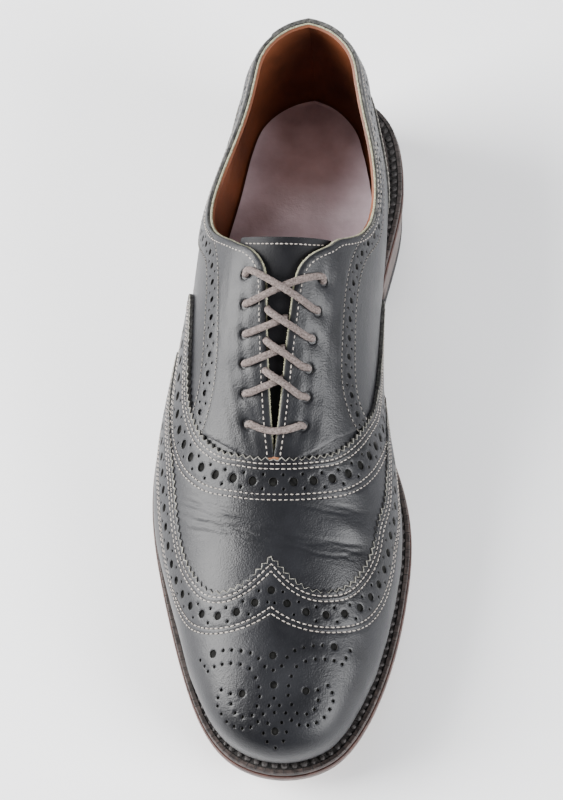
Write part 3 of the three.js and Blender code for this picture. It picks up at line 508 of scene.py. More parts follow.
def inside(poly, pts):
    """Even-odd test of points in a polygon."""
    x, y = pts[:, 0], pts[:, 1]
    hit = np.zeros(len(pts), bool)
    for (x0, y0), (x1, y1) in zip(poly, np.roll(poly, -1, axis=0)):
        if y0 == y1:
            continue
        c = (y0 > y) != (y1 > y)
        hit ^= c & (x < (x1 - x0) * (y - y0) / (y1 - y0) + x0)
    return hit


def mesh_object(name, verts, faces, materials, index=None):
    """A smooth piece on the root body."""
    mesh = bpy.data.meshes.new(name)
    mesh.from_pydata([tuple(v) for v in (np.asarray(verts) * MM).tolist()], [], [list(f) for f in faces])
    for m in materials:
        mesh.materials.append(m)
    mesh.polygons.foreach_set("use_smooth", [True] * len(mesh.polygons))
    if index is not None:
        mesh.polygons.foreach_set("material_index", [int(i) for i in index])
    mesh.update()
    obj = bpy.data.objects.new(name, mesh)
    bpy.context.scene.collection.objects.link(obj)
    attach(obj, "root")
    return obj


def grid_faces(start, n, m, flip=False):
    """Quads of a grid of n by m points."""
    rows = [range(start + i * m, start + i * m + m - 1) for i in range(n - 1)]
    out = [(a, a + m, a + m + 1, a + 1) for row in rows for a in row]
    return [q[::-1] for q in out] if flip else out


def tube_faces(count, rings, segs):
    """Quads and end caps of some tubes, each of so many rings."""
    one = []
    for i in range(0, (rings - 1) * segs, segs):
        one += [(i + j, i + (j + 1) % segs, i + segs + (j + 1) % segs, i + segs + j) for j in range(segs)]
    one += [tuple(range(segs))[::-1], tuple((rings - 1) * segs + j for j in range(segs))]
    return [tuple(c * rings * segs + i for i in f) for c in range(count) for f in one]


def circle(c, r, n):
    """Even points on a circle."""
    t = 2 * np.pi * np.arange(n) / n
    return np.column_stack([c[0] + r * np.cos(t), c[1] + r * np.sin(t)])


# Leather pieces: drop of cut edges and of hole edges, depth of a sewn groove, soft widths beside them
EDGE_DROP = 0.25
HOLE_DROP = 0.15
RIM_DROP = 0.015
GROOVE = 0.22
GROOVE_HALF = 0.7
RIM = 0.45
HALO = 0.95
CLEAR = 0.6


def panel(name, boundary, pattern, top, bottom, materials, holes=(), grooves=(), pitch=2.0, relief=None,
          dense=None):
    """A cut piece of leather with punched holes, laid on the last."""
    boundary = np.asarray(boundary, float)
    n = len(boundary)
    pts = [boundary]
    edges = [(i, (i + 1) % n) for i in range(n)]
    drop = [np.full(n, EDGE_DROP)]
    count = n
    loops = [(0, n)]
    for (cx, cy, r) in holes:
        k = 14 if r > 1.0 else 8
        ring = circle((cx, cy), r, k)
        pts.append(ring)
        drop.append(np.full(k, HOLE_DROP))
        edges += [(count + i, count + (i + 1) % k) for i in range(k)]
        loops.append((count, k))
        count += k
        rim = circle((cx, cy), r + RIM, k)
        pts.append(rim)
        drop.append(np.full(k, RIM_DROP))
        count += k
    inner = offset_ring(boundary, 0.55)
    extra = [inner]
    extra_drop = [np.full(len(inner), 0.02)]
    for line in grooves:
        fine = resample(line, 1.1)
        extra.append(fine)
        extra_drop.append(np.full(len(fine), GROOVE))
        for sgn in (-GROOVE_HALF, GROOVE_HALF):
            side_line = fine + normals2(fine) * sgn
            extra.append(side_line)
            extra_drop.append(np.zeros(len(side_line)))
    for (cx, cy, r) in holes:
        halo = circle((cx, cy), r + HALO, 14 if r > 1.0 else 8)
        extra.append(halo)
        extra_drop.append(np.zeros(len(halo)))
    extra = np.vstack(extra)
    extra_drop = np.concatenate(extra_drop)
    fixed = np.vstack(pts)
    lo = fixed.min(0)
    hi = fixed.max(0)
    grid = lattice(lo, hi, pitch)
    ok = inside(boundary, extra) & clear_of(extra, boundary, 0.3)
    extra, extra_drop = extra[ok], extra_drop[ok]
    if len(holes):
        hc = np.array([[h[0], h[1]] for h in holes])
        hr = np.array([h[2] for h in holes])
        d = np.hypot(extra[:, None, 0] - hc[None, :, 0], extra[:, None, 1] - hc[None, :, 1])
        ok = (d > hr[None, :] + CLEAR).all(1)
        extra, extra_drop = extra[ok], extra_drop[ok]
    grid = grid[inside(boundary, grid)]
    grid = grid[clear_of(grid, np.vstack([fixed, extra]), pitch * 0.55)]
    if dense:
        x0, x1, fine_pitch = dense
        grid = grid[(grid[:, 0] < x0) | (grid[:, 0] > x1)]
        fine = lattice(np.array([x0, lo[1]]), np.array([x1, hi[1]]), fine_pitch)
        fine = fine[inside(boundary, fine)]
        grid = np.vstack([grid, fine[clear_of(fine, np.vstack([fixed, extra]), fine_pitch * 0.55)]])
    cloud = np.vstack([fixed, extra, grid])
    dips = np.concatenate(drop + [extra_drop, np.zeros(len(grid))])
    points = [Vector(p) for p in cloud.tolist()]
    verts, _, faces, origin, _, _ = delaunay_2d_cdt(points, edges, [], 0, 1e-5, True)
    v2 = np.array([(v.x, v.y) for v in verts])
    dip = np.array([dips[o[0]] if len(o) else 0.0 for o in origin])
    back = {}
    for i, o in enumerate(origin):
        for k in o:
            back[k] = i
    tri = np.array([f for f in faces if len(f) == 3])
    mid = v2[tri].mean(1)
    keep = inside(boundary, mid)
    if len(holes):
        for s0 in range(0, len(mid), 4000):
            part = mid[s0:s0 + 4000]
            d = np.hypot(part[:, None, 0] - hc[None, :, 0], part[:, None, 1] - hc[None, :, 1])
            keep[s0:s0 + 4000] &= (d > hr[None, :] * 0.97).all(1)
    tri = tri[keep]
    p, nrm = on_last(pattern, v2)
    rise = relief(v2, p) if relief is not None else 0.0
    topv = p + nrm * (top - dip + rise)[:, None]
    # faces wound outwards
    a, b, c = topv[tri[:, 0]], topv[tri[:, 1]], topv[tri[:, 2]]
    fn = np.cross(b - a, c - a)
    wrong = (fn * nrm[tri[:, 0]]).sum(1) < 0
    tri[wrong] = tri[wrong][:, [0, 2, 1]]
    out_v = [topv]
    out_f = [tuple(t) for t in tri.tolist()]
    index = [0] * len(out_f)
    base = len(topv)
    for start, k in loops:
        ids = [back[start + i] for i in range(k)]
        up = topv[ids]
        down = p[ids] + nrm[ids] * bottom
        out_v += [up, down]
        for i in range(k):
            j = (i + 1) % k
            out_f.append((base + i, base + j, base + k + j, base + k + i))
            index.append(1)
        base += 2 * k
    return mesh_object(name, np.vstack(out_v), out_f, materials, index)


def lattice(lo, hi, pitch):
    """Even triangular grid of points over a box."""
    xs = np.arange(lo[0], hi[0], pitch)
    ys = np.arange(lo[1], hi[1], pitch * 0.866)
    gx, gy = np.meshgrid(xs, ys, indexing="ij")
    gx = gx + (np.arange(len(ys)) % 2)[None, :] * pitch / 2
    return np.column_stack([gx.ravel(), gy.ravel()])


def clear_of(pts, fixed, distance):
    """True for points farther than a distance from all fixed ones, by coarse cells."""
    cells = {}
    for key, q in zip(np.floor(fixed / distance).astype(int).tolist(), fixed.tolist()):
        cells.setdefault(tuple(key), []).append(q)
    ok = np.ones(len(pts), bool)
    keys = np.floor(pts / distance).astype(int).tolist()
    for i, ((kx, ky), (x, y)) in enumerate(zip(keys, pts.tolist())):
        near = [r for dx in (-1, 0, 1) for dy in (-1, 0, 1) for r in cells.get((kx + dx, ky + dy), ())]
        ok[i] = all((rx - x) ** 2 + (ry - y) ** 2 >= distance**2 for rx, ry in near)
    return ok


def offset_ring(ring, distance):
    """A closed outline moved inwards."""
    d = np.roll(ring, -1, axis=0) - np.roll(ring, 1, axis=0)
    d /= np.hypot(d[:, 0], d[:, 1])[:, None] + 1e-12
    n = np.column_stack([-d[:, 1], d[:, 0]])
    area = 0.5 * (ring[:, 0] * np.roll(ring[:, 1], -1) - ring[:, 1] * np.roll(ring[:, 0], -1)).sum()
    return ring + n * distance * (1 if area > 0 else -1)


def stitch_mesh(rows, length=1.72, pitch=2.15, radius=0.225, gap=False, segs=6):
    """Stitches, or dark blobs between them that paint the shade of the needle holes, along rows of (polyline,
    pattern, height).
    """
    rings = 3 if gap else 5
    t = np.linspace(-1, 1, rings)
    fat = np.sqrt(np.clip(1 - (np.abs(t) ** 3) * 0.75, 0, 1))
    ang = 2 * np.pi * np.arange(segs) / segs
    verts = []
    total = 0
    for line, pattern, height in rows:
        run = run_of(line)
        count = int(run[-1] / pitch)
        centre = (np.arange(count) + (0.0 if gap else 0.5)) * run[-1] / count
        centre = centre + (0.0 if gap else RNG.normal(0, 0.05, count))
        s = centre[:, None] + t[None, :] * length / 2
        xy = np.stack([np.interp(s, run, line[:, k]) for k in range(2)], -1)
        tilt = RNG.normal(0, 0.045, count)
        d0 = xy[:, -1] - xy[:, 0]
        nn = np.column_stack([-d0[:, 1], d0[:, 0]]) / (np.hypot(d0[:, 0], d0[:, 1])[:, None] + 1e-9)
        xy = xy + nn[:, None, :] * (tilt[:, None] * t[None, :] * length / 2)[..., None]
        p, n = on_last(pattern, xy.reshape(-1, 2))
        p = p.reshape(count, rings, 3)
        n = n.reshape(count, rings, 3)
        lift = height + (0.03 if gap else 0.12) - 0.30 * np.abs(t) ** 3
        p = p + n * lift[None, :, None]
        along = np.gradient(p, axis=1)
        along /= np.linalg.norm(along, axis=2, keepdims=True) + 1e-12
        across = np.cross(n, along)
        size = radius * fat * (1 + RNG.normal(0, 0.05, (count, 1)))
        ring = across[:, :, None, :] * np.cos(ang)[None, None, :, None] * 1.15
        ring = ring + n[:, :, None, :] * np.sin(ang)[None, None, :, None]
        v = p[:, :, None, :] + ring * size[:, :, None, None]
        verts.append(v.reshape(-1, 3))
        total += count
    return np.vstack(verts), tube_faces(total, rings, segs)


# Materials
def material(name, base, rough, spec, coat=0.0):
    """A material with its tree and its shader."""
    m = bpy.data.materials.new(name)
    m.use_nodes = True
    nt = m.node_tree
    bsdf = nt.nodes["Principled BSDF"]
    bsdf.inputs["Base Color"].default_value = (*base, 1)
    bsdf.inputs["Roughness"].default_value = rough
    bsdf.inputs["Specular IOR Level"].default_value = spec
    bsdf.inputs["Coat Weight"].default_value = coat
    bsdf.inputs["Coat Roughness"].default_value = 0.35
    return m, nt, bsdf


def node(nt, kind, vector=None, **values):
    """A texture or bump node with its values, on the place given."""
    n = nt.nodes.new(kind)
    for key, value in values.items():
        n.inputs[key].default_value = value
    if vector:
        nt.links.new(vector, n.inputs["Vector"])
    return n


def ramp(nt, fac, stops):
    """Colours by a factor, from (position, colour) stops."""
    r = nt.nodes.new("ShaderNodeValToRGB")
    while len(r.color_ramp.elements) < len(stops):
        r.color_ramp.elements.new(0.5)
    for e, (at, c) in zip(r.color_ramp.elements, stops):
        e.position = at
        e.color = (*c, 1)
    nt.links.new(fac, r.inputs["Fac"])
    return r.outputs["Color"]


def bumps(nt, bsdf, layers):
    """Bump layers on one another: (height output, strength, distance)."""
    under = None
    for height, strength, distance in layers:
        b = node(nt, "ShaderNodeBump", Strength=strength, Distance=distance)
        nt.links.new(height, b.inputs["Height"])
        if under:
            nt.links.new(under, b.inputs["Normal"])
        under = b.outputs["Normal"]
    nt.links.new(under, bsdf.inputs["Normal"])


def leather(name, dark, light, rough, grain, spec, wrinkle, coat=0.0):
    """Smooth calf: fine pores, soft wrinkles, cloudy wear."""
    m, nt, bsdf = material(name, dark, rough[0], spec, coat)
    pos = nt.nodes.new("ShaderNodeNewGeometry").outputs["Position"]
    cloud = node(nt, "ShaderNodeTexNoise", pos, Scale=38.0, Detail=5.0, Roughness=0.55).outputs["Fac"]
    pore = node(nt, "ShaderNodeTexVoronoi", pos, Scale=1500.0).outputs["Distance"]
    fine = node(nt, "ShaderNodeTexNoise", pos, Scale=900.0, Detail=3.0).outputs["Fac"]
    soft = node(nt, "ShaderNodeTexNoise", pos, Scale=170.0, Detail=4.0, Roughness=0.6).outputs["Fac"]
    nt.links.new(ramp(nt, cloud, [(0.35, dark), (0.72, light)]), bsdf.inputs["Base Color"])
    shine = ramp(nt, cloud, [(0.3, (rough[0],) * 3), (0.75, (rough[1],) * 3)])
    nt.links.new(shine, bsdf.inputs["Roughness"])
    bumps(nt, bsdf, [(pore, grain, 0.00008), (fine, grain, 0.00006), (soft, wrinkle, 0.0003)])
    return m


def rough_stuff(name, dark, light, scale, rough, bump=0.6, distance=0.0003, spec=0.3):
    """A speckled rough surface, such as cut edges, thread, cloth and rubber."""
    m, nt, bsdf = material(name, dark, rough, spec)
    pos = nt.nodes.new("ShaderNodeNewGeometry").outputs["Position"]
    speck = node(nt, "ShaderNodeTexNoise", pos, Scale=scale, Detail=6.0, Roughness=0.65).outputs["Fac"]
    nt.links.new(ramp(nt, speck, [(0.36, dark), (0.66, light)]), bsdf.inputs["Base Color"])
    bumps(nt, bsdf, [(speck, bump, distance)])
    return m


# Leathers: dark and light colour, roughness from and to, grain, shine, wrinkles, coat
BLACK = leather(
    "black_leather", (0.0045, 0.0047, 0.006), (0.011, 0.0115, 0.014), (0.33, 0.47), 0.7, 0.27, 0.5,
)
TONGUE_BLACK = leather(
    "tongue_leather", (0.004, 0.004, 0.005), (0.012, 0.012, 0.014), (0.45, 0.6), 0.5, 0.14, 0.6,
)
LINING = leather("lining", (0.085, 0.026, 0.011), (0.19, 0.058, 0.023), (0.4, 0.55), 0.2, 0.4, 0.3)
PAD = leather("insole_pad", (0.4, 0.315, 0.35), (0.7, 0.6, 0.66), (0.28, 0.46), 0.3, 0.5, 0.9, 0.15)

# Rough stuffs: dark and light colour, speckles a metre, roughness, bump, its depth in metres, shine
EDGE_BLACK = rough_stuff("cut_edge_black", (0.008, 0.008, 0.008), (0.085, 0.083, 0.078), 620, 0.75)
EDGE_GREY = rough_stuff("cut_edge_grey", (0.05, 0.048, 0.042), (0.26, 0.25, 0.22), 800, 0.8, 0.6, 0.0002)
RAW_EDGE = rough_stuff("raw_edge", (0.13, 0.13, 0.085), (0.4, 0.385, 0.27), 1100, 0.85, 0.8, 0.0003)
THREAD = rough_stuff("thread", (0.19, 0.165, 0.145), (0.5, 0.455, 0.41), 1500, 0.7, 0.5, 0.0001)
THREAD_GREY = rough_stuff("thread_grey", (0.1, 0.09, 0.08), (0.3, 0.28, 0.255), 1500, 0.7, 0.5, 0.0001)
# Hole bottoms: near black and dull, painted shade in the punched pits
PIT_SHADE = rough_stuff("hole_bottom_painted_shade", (0.004, 0.004, 0.004), (0.016, 0.016, 0.015), 500, 0.8, 0.3, 0.0001, 0.05)
# Needle holes: near-black blobs, painted shade in the holes between stitches
NEEDLE_SHADE = rough_stuff("needle_hole_painted_shade", (0.002, 0.002, 0.002), (0.005, 0.005, 0.005), 900, 0.8, 0.2, 0.0001, 0.2)
TAN = rough_stuff("tan_leather", (0.1, 0.035, 0.014), (0.28, 0.12, 0.055), 700, 0.6, 0.5, 0.0002)
LACE_STUFF = rough_stuff(
    "lace_cloth", (0.06, 0.047, 0.043), (0.2, 0.163, 0.152), 1400, 0.85, 0.6, 0.00018, 0.2,
)
WELT_STRIP = rough_stuff("welt_strip", (0.01, 0.0075, 0.007), (0.055, 0.041, 0.037), 380, 0.55)
# Welt channel and notch bars: darker than the strip, painted shade in these recesses
WELT_SHADE = rough_stuff("welt_groove_painted_shade", (0.006, 0.006, 0.006), (0.024, 0.021, 0.02), 700, 0.75, 0.8)
WELT_CORD = rough_stuff("welt_cord", (0.008, 0.007, 0.007), (0.042, 0.037, 0.036), 900, 0.6, 0.8)
SOLE_TOP = rough_stuff(
    "sole_top_line", (0.018, 0.006, 0.004), (0.06, 0.022, 0.015), 300, 0.5, 0.4, 0.0002, 0.4,
)
SOLE_EDGE = rough_stuff(
    "sole_edge", (0.022, 0.012, 0.009), (0.085, 0.052, 0.041), 240, 0.45, 0.5, 0.0002, 0.45,
)
TREAD = rough_stuff("tread", (0.1, 0.06, 0.035), (0.22, 0.14, 0.08), 160, 0.7, 0.4, 0.0002)
RUBBER = rough_stuff("rubber", (0.01, 0.01, 0.011), (0.03, 0.03, 0.031), 500, 0.75, 0.4, 0.0002)


def edge_points(rows, side, to):
    """Table rows (v, h) as pattern points."""
    line = rows_curve(rows, 10)
    return to(line[:, 0], side, np.minimum(line[:, 1], 1.0))


def across(lateral, medial):
    """The two halves of an edge, lateral feather to ridge and ridge to medial feather."""
    a = edge_points(lateral, -1, to_top)
    b = edge_points(medial, 1, to_top)[::-1]
    a[-1, 1] = 0
    b[0, 1] = 0
    b[0, 0] = a[-1, 0]
    return a, b


def both(halves, distance):
    """Offset of a two-sided edge towards the toe, kept pointed or smooth at the ridge."""
    left = offset(halves[0], -distance)
    right = offset(halves[1], -distance)
    left = left[left[:, 1] < -0.01]
    right = right[right[:, 1] > 0.01]
    xa = left[-1, 0] - left[-1, 1] * (left[-1, 0] - left[-4, 0]) / (left[-1, 1] - left[-4, 1])
    xb = right[0, 0] - right[0, 1] * (right[3, 0] - right[0, 0]) / (right[3, 1] - right[0, 1])
    mid = np.array([[(xa + xb) / 2, 0.0]])
    return np.vstack([left, mid, right])


# Radii of the punched holes, spread of the small ones, and how far pieces reach past the feather line
BIG_HOLE = 1.5
SMALL_HOLE = 0.55
SPREAD = 2.6
FEATHER = -0.03

wing_edge = across(WING_LATERAL, WING_MEDIAL)
throat_edge = across(THROAT_LATERAL, THROAT_MEDIAL)


def foot_line(v0, v1, side):
    """Lower edge of a piece, a little below the feather line."""
    v = np.linspace(v0, v1, 90)
    return to_top(v, side, np.full(v.shape, FEATHER))


def spot(line, run):
    """Point and unit normal of a polyline at a run."""
    at = run_of(line)
    nn = normals2(line)
    c = np.array([np.interp(run, at, line[:, k]) for k in range(2)])
    n = np.array([np.interp(run, at, nn[:, k]) for k in range(2)])
    return c, n / np.hypot(*n)


def hole_row(line, pitch, start=0.5, big=BIG_HOLE, small=SMALL_HOLE, spread=SPREAD, trim=(0, 0)):
    """Big holes along a line with a pair of small ones between each two."""
    end = run_of(line)[-1] - trim[1]
    count = int((end - trim[0]) / pitch)
    step = (end - trim[0]) / count
    out = []
    for i in range(count):
        c, _ = spot(line, trim[0] + (i + start) * step)
        if trim[0] + (i + start) * step <= end:
            out.append((*c, big))
        if trim[0] + (i + start + 0.5) * step <= end:
            out += pair(*spot(line, trim[0] + (i + start + 0.5) * step), spread, small)
    return out


def pair(c, n, spread, small):
    """Two small holes beside a point."""
    return [(*(c + sgn * n * spread), small) for sgn in (1, -1)]


def split_rows(line, pitch, big=BIG_HOLE, small=SMALL_HOLE):
    """Hole row mirrored out from the ridge so that a big hole sits at the peak."""
    k = int(np.argmin(np.abs(line[:, 1])))
    out = [(*line[k], big)]
    for part in (line[:k + 1][::-1], line[k:]):
        part = resample(part, 0.7)
        out += hole_row(part, pitch, 1.0, big, small)
        length = run_of(part)[-1]
        out += pair(*spot(part, length / int(length / pitch) / 2), SPREAD, small)
    return out


def keep_low(holes):
    """Holes of the top pattern that lie above the feather line."""
    share = from_top(np.array([h[:2] for h in holes]))[2]
    return [hole for hole, up in zip(holes, share) if up > -FEATHER]


# Distances of the seams and the holes from the edge of each piece
WING_SEAMS = (2.0, 3.9, 13.4, 15.3)
WING_ROW = 8.8
VAMP_SEAMS = (1.9, 3.7, 13.0, 15.0)
VAMP_ROW = 8.4
BAND_SEAMS = (1.0, 9.5)
BAND_ROW = 5.2
COUNTER_SEAMS = (2.0, 3.8)
COUNTER_ROW = 8.0
SEAM_SINK = 0.15

seams = []
grey_seams = []

# Wing cap
wing_gimp_l = gimp(wing_edge[0])
wing_gimp_m = gimp(wing_edge[1])
wing_front = np.vstack([
    foot_line(WING_MEDIAL[0][0] + 0.003, 1.0, 1)[1:],
    foot_line(1.0, WING_LATERAL[0][0] + 0.003, -1)[1:],
])
wing_boundary = np.vstack([wing_gimp_l, wing_gimp_m[1:], resample(wing_front, 1.6)[1:-1]])
wing_seams = [both(wing_edge, d) for d in WING_SEAMS]
wing_holes = keep_low(split_rows(both(wing_edge, WING_ROW), 7.4))

# Toe medallion along its own axis: single holes (along, radius) and mirrored pairs (along, across, radius)
MEDAL_AT = np.array([271.48, 0.73])
MEDAL_TURN = math.radians(3.82)
BIG = 1.45
SMALL = 0.66
MEDAL_MIDDLE = [(0, BIG), (11.0, BIG), (28.2, BIG), (5.5, SMALL), (16.0, SMALL), (21.4, SMALL), (33.8, SMALL)]
MEDAL_PAIRS = [
    (-3.6, 23.1, BIG), (13.5, 12.2, BIG), (-3.8, 18.6, SMALL), (-3.4, 15.2, SMALL), (-3.0, 29.5, SMALL),
    (-2.6, 11.6, SMALL), (-1.5, 8.2, SMALL), (0.0, 27.6, SMALL), (0.8, 5.3, SMALL), (1.2, 19.4, SMALL),
    (1.4, 15.8, SMALL), (1.5, 22.9, SMALL), (2.3, 12.2, SMALL), (2.5, 26.1, SMALL), (4.0, 3.2, SMALL),
    (4.3, 8.8, SMALL), (7.9, 6.8, SMALL), (11.1, 20.4, SMALL), (11.5, 5.7, SMALL), (13.1, 16.6, SMALL),
    (13.8, 22.0, SMALL), (15.1, 5.5, SMALL), (16.9, 22.4, SMALL), (17.0, 16.6, SMALL), (18.6, 6.7, SMALL),
    (18.8, 2.0, SMALL), (20.1, 20.9, SMALL), (20.4, 15.2, SMALL), (21.7, 4.4, SMALL), (21.9, 8.7, SMALL),
    (22.2, 12.3, SMALL), (23.2, 18.7, SMALL), (24.4, 6.5, SMALL), (25.2, 2.7, SMALL), (25.2, 15.8, SMALL),
    (26.1, 9.3, SMALL), (26.2, 12.6, SMALL), (28.6, 4.4, SMALL), (31.6, 3.1, SMALL),
]
along = np.array([math.cos(MEDAL_TURN), math.sin(MEDAL_TURN)])
aside = np.array([-math.sin(MEDAL_TURN), math.cos(MEDAL_TURN)])
for a, r in MEDAL_MIDDLE:
    wing_holes.append((*(MEDAL_AT + along * a), r))
for a, c, r in MEDAL_PAIRS:
    for sgn in (-1, 1):
        wing_holes.append((*(MEDAL_AT + along * a + aside * sgn * c), r))


def cut_edge(name, line, pattern, top, width=0.34):
    """The pale bevel along a cut edge that has its leather on the right."""
    fine = [line[0]]
    for a, b in zip(line[:-1], line[1:]):
        fine += [a + (b - a) * 0.5, b]
    fine = np.array(fine)
    n = -normals2(fine)
    p0, n0 = on_last(pattern, fine)
    p1, n1 = on_last(pattern, fine + n * width * RNG.uniform(0.75, 1.35, len(fine))[:, None])
    verts = np.vstack([p0 + n0 * (top - EDGE_DROP + 0.02), p1 + n1 * (top - EDGE_DROP * 0.35 + 0.06)])
    k = len(fine)
    quads = grid_faces(0, 2, k)
    q = quads[k // 2]
    if np.dot(np.cross(verts[q[1]] - verts[q[0]], verts[q[2]] - verts[q[0]]), n0[k // 2]) < 0:
        quads = grid_faces(0, 2, k, True)
    mesh_object(name, verts, quads, [EDGE_GREY])


def wing_relief(xy, p):
    """Slight hollows and bumps of worn leather over a stiff toe."""
    x, y = xy[:, 0], xy[:, 1]
    return 0.10 * np.sin(x * 0.13 + y * 0.05) * np.sin(y * 0.11 + 0.7) + 0.05 * np.sin(x * 0.31 - y * 0.23)


wing = panel(
    "wing_cap_leather", wing_boundary, from_top, WING_TOP, 0.2, [BLACK, EDGE_BLACK],
    holes=wing_holes, grooves=wing_seams, pitch=1.5, relief=wing_relief,
)


def underlay(name, outline, pitch, top, bottom):
    """Sheet under punched holes: the layer beneath, in a dark dull stuff that is painted shade in the pits.
    """
    outline = resample(outline, pitch, closed=True)
    panel(name, outline, from_top, top, bottom, [PIT_SHADE, PIT_SHADE], pitch=3.0)


# Dark sheets under the medallion and the hole rows: painted shade in the holes
toe_patch = np.array([(262, -36), (308, -36), (308, 36), (262, 36)], float)
underlay("toe_underlay", toe_patch, 3.0, 1.7, 0.4)
wing_strip = np.vstack([both(wing_edge, 5.2), both(wing_edge, 12.2)[::-1]])
underlay("wing_underlay", wing_strip, 2.5, 1.6, 0.4)
cut_edge("wing_cut_edge_lateral", wing_gimp_l, from_top, WING_TOP)
cut_edge("wing_cut_edge_medial", wing_gimp_m, from_top, WING_TOP)
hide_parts("wing_cap")
seams += [(line, from_top, WING_TOP - SEAM_SINK) for line in wing_seams]

# Vamp
vamp_gimp_l = gimp(throat_edge[0])
vamp_gimp_m = gimp(throat_edge[1])
vamp_boundary = np.vstack([vamp_gimp_l, vamp_gimp_m[1:], resample(both(wing_edge, 4.0)[::-1], 1.8)])
vamp_seams = [both(throat_edge, d) for d in VAMP_SEAMS]
vamp_holes = keep_low(split_rows(both(throat_edge, VAMP_ROW), 7.7, 1.7, 0.6))


# Creases where the foot bends: depth and breadth in mm, then places (along, across)
CREASES = [
    (0.186, 1.08, [
        (0.6785, -0.387), (0.6994, -0.245), (0.7157, -0.126),
        (0.7278, 0.016), (0.7336, 0.156), (0.7282, 0.343),
    ]),
    (0.161, 0.96, [
        (0.6915, -0.375), (0.7151, -0.203), (0.7291, -0.054),
        (0.7373, 0.085), (0.7407, 0.229), (0.7359, 0.352),
    ]),
    (0.124, 0.84, [(0.7114, -0.340), (0.7289, -0.163), (0.7388, -0.018), (0.7452, 0.103)]),
    (0.099, 0.84, [(0.7390, 0.020), (0.7455, 0.130), (0.7470, 0.250), (0.7420, 0.330)]),
    (0.124, 0.96, [(0.6898, 0.164), (0.6897, 0.246), (0.6861, 0.361)]),
    (0.074, 0.84, [(0.6930, 0.060), (0.6955, 0.170), (0.6945, 0.290)]),
]
# Fine wrinkles beside them: crease followed, then in mm shift along, start and end across, depth
WRINKLES = [
    (0, -4.6, -40, -6, 0.06), (0, -3.2, -41, -14, 0.084), (0, -1.9, -41, 10, 0.09), (0, 1.5, -40, -8, 0.096),
    (0, 2.7, -30, 22, 0.078), (1, -1.3, -22, 30, 0.078), (1, 1.2, -38, 6, 0.096), (1, 2.2, -12, 34, 0.09),
    (1, 3.1, 2, 36, 0.078), (1, 3.9, -6, 22, 0.06), (2, 1.3, -33, -4, 0.072), (2, 2.4, -26, 4, 0.06),
    (3, -1.2, 8, 35, 0.078), (3, 1.3, 14, 34, 0.072), (3, 2.5, 18, 32, 0.054), (0, -6.3, -38, -18, 0.042),
    (4, -1.6, 20, 38, 0.054), (4, 1.8, 16, 36, 0.06),
]
WRINKLE_BROAD = 0.75
# Broad swells: along, across, half lengths both ways and height in mm
SWELLS = [
    (0.7140, 0.280, 5.0, 8.0, 0.65), (0.7060, -0.290, 5.0, 12.0, 0.20), (0.7060, 0.020, 5.5, 26.0, 0.22),
    (0.7290, 0.290, 3.5, 11.0, -0.30), (0.6880, 0.250, 4.0, 14.0, -0.22), (0.7560, 0.080, 5.0, 26.0, 0.22),
    (0.7210, -0.150, 4.5, 22.0, -0.20),
]


def crease_lines():
    """Every crease and wrinkle as (across, along, depth, breadth) on a fine scale."""
    out = []
    for deep, broad, points in CREASES:
        q = np.array(points) * np.array([LENGTH, BALL_WIDTH])
        y = np.linspace(q[0, 1], q[-1, 1], 120)
        out.append((y, spline(q[:, 1], q[:, 0])(y), deep, broad))
    for k, shift, start, end, deep in WRINKLES:
        y = np.linspace(start, end, 120)
        wander = RNG.uniform(0, 6)
        x = np.interp(y, out[k][0], out[k][1]) + shift
        x = x + 0.5 * np.sin(y * 0.21 + wander) + 0.2 * np.sin(y * 0.63 + wander)
        out.append((y, x, deep, WRINKLE_BROAD))
    return out


CREASE_LINES = crease_lines()


def vamp_relief(xy, p):
    """Bending creases, fine wrinkles beside them and the swells between."""
    x, y = xy[:, 0], xy[:, 1]
    out = np.zeros(len(xy))
    for line_y, line_x, deep, broad in CREASE_LINES:
        at = np.interp(y, line_y, line_x) + 0.10 * np.sin(y * 0.6 + line_x[0])
        fade = np.clip((y - line_y[0]) / 6, 0, 1) * np.clip((line_y[-1] - y) / 6, 0, 1)
        s = (x - at) / broad
        out -= deep * fade * (np.exp(-s**2) - 0.25 * np.exp(-((np.abs(s) - 1.7) / 0.9) ** 2))
    for cx, cy, sx, sy, high in SWELLS:
        out += high * np.exp(-((x - cx * LENGTH) / sx) ** 2 - ((y - cy * BALL_WIDTH) / sy) ** 2)
    return out + 0.06 * np.sin(x * 0.23 + 1.0) * np.sin(y * 0.17)


vamp = panel(
    "vamp_leather", vamp_boundary, from_top, VAMP_TOP, 0.2, [BLACK, EDGE_BLACK],
    holes=vamp_holes, grooves=vamp_seams, pitch=1.6, relief=vamp_relief, dense=(207.0, 237.0, 0.42),
)
vamp_strip = np.vstack([both(throat_edge, 4.8), both(throat_edge, 12.2)[::-1]])
underlay("vamp_underlay", vamp_strip, 2.5, 0.9, 0.3)
cut_edge("vamp_cut_edge_lateral", vamp_gimp_l, from_top, VAMP_TOP)
cut_edge("vamp_cut_edge_medial", vamp_gimp_m, from_top, VAMP_TOP)
tab = np.array([(198.3, -3.6), (199.7, -4.6), (200.2, 0.0), (199.7, 4.6), (198.3, 3.6), (198.0, 0.0)])
panel("throat_tab", resample(tab, 0.8, closed=True), from_top, 1.25, 0.2, [TAN, TAN], pitch=1.5)
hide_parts("vamp")
seams += [(line, from_top, VAMP_TOP - SEAM_SINK) for line in vamp_seams]


def collar_places(*counts):
    """Places along the collar and the slit, closest at the corner between them, and on to the toe."""
    ends = COLLAR_STOPS[:len(counts) + 1]
    parts = [np.linspace(a, b, n)[1:] for a, b, n in zip(ends[:-1], ends[1:], counts)]
    return np.concatenate([[0.0], *parts])


# Facings with the topline band
COLLAR_STOPS = (0.0, 0.33, 0.46, 0.66, 1.0)
EYE_HOLE = 2.05


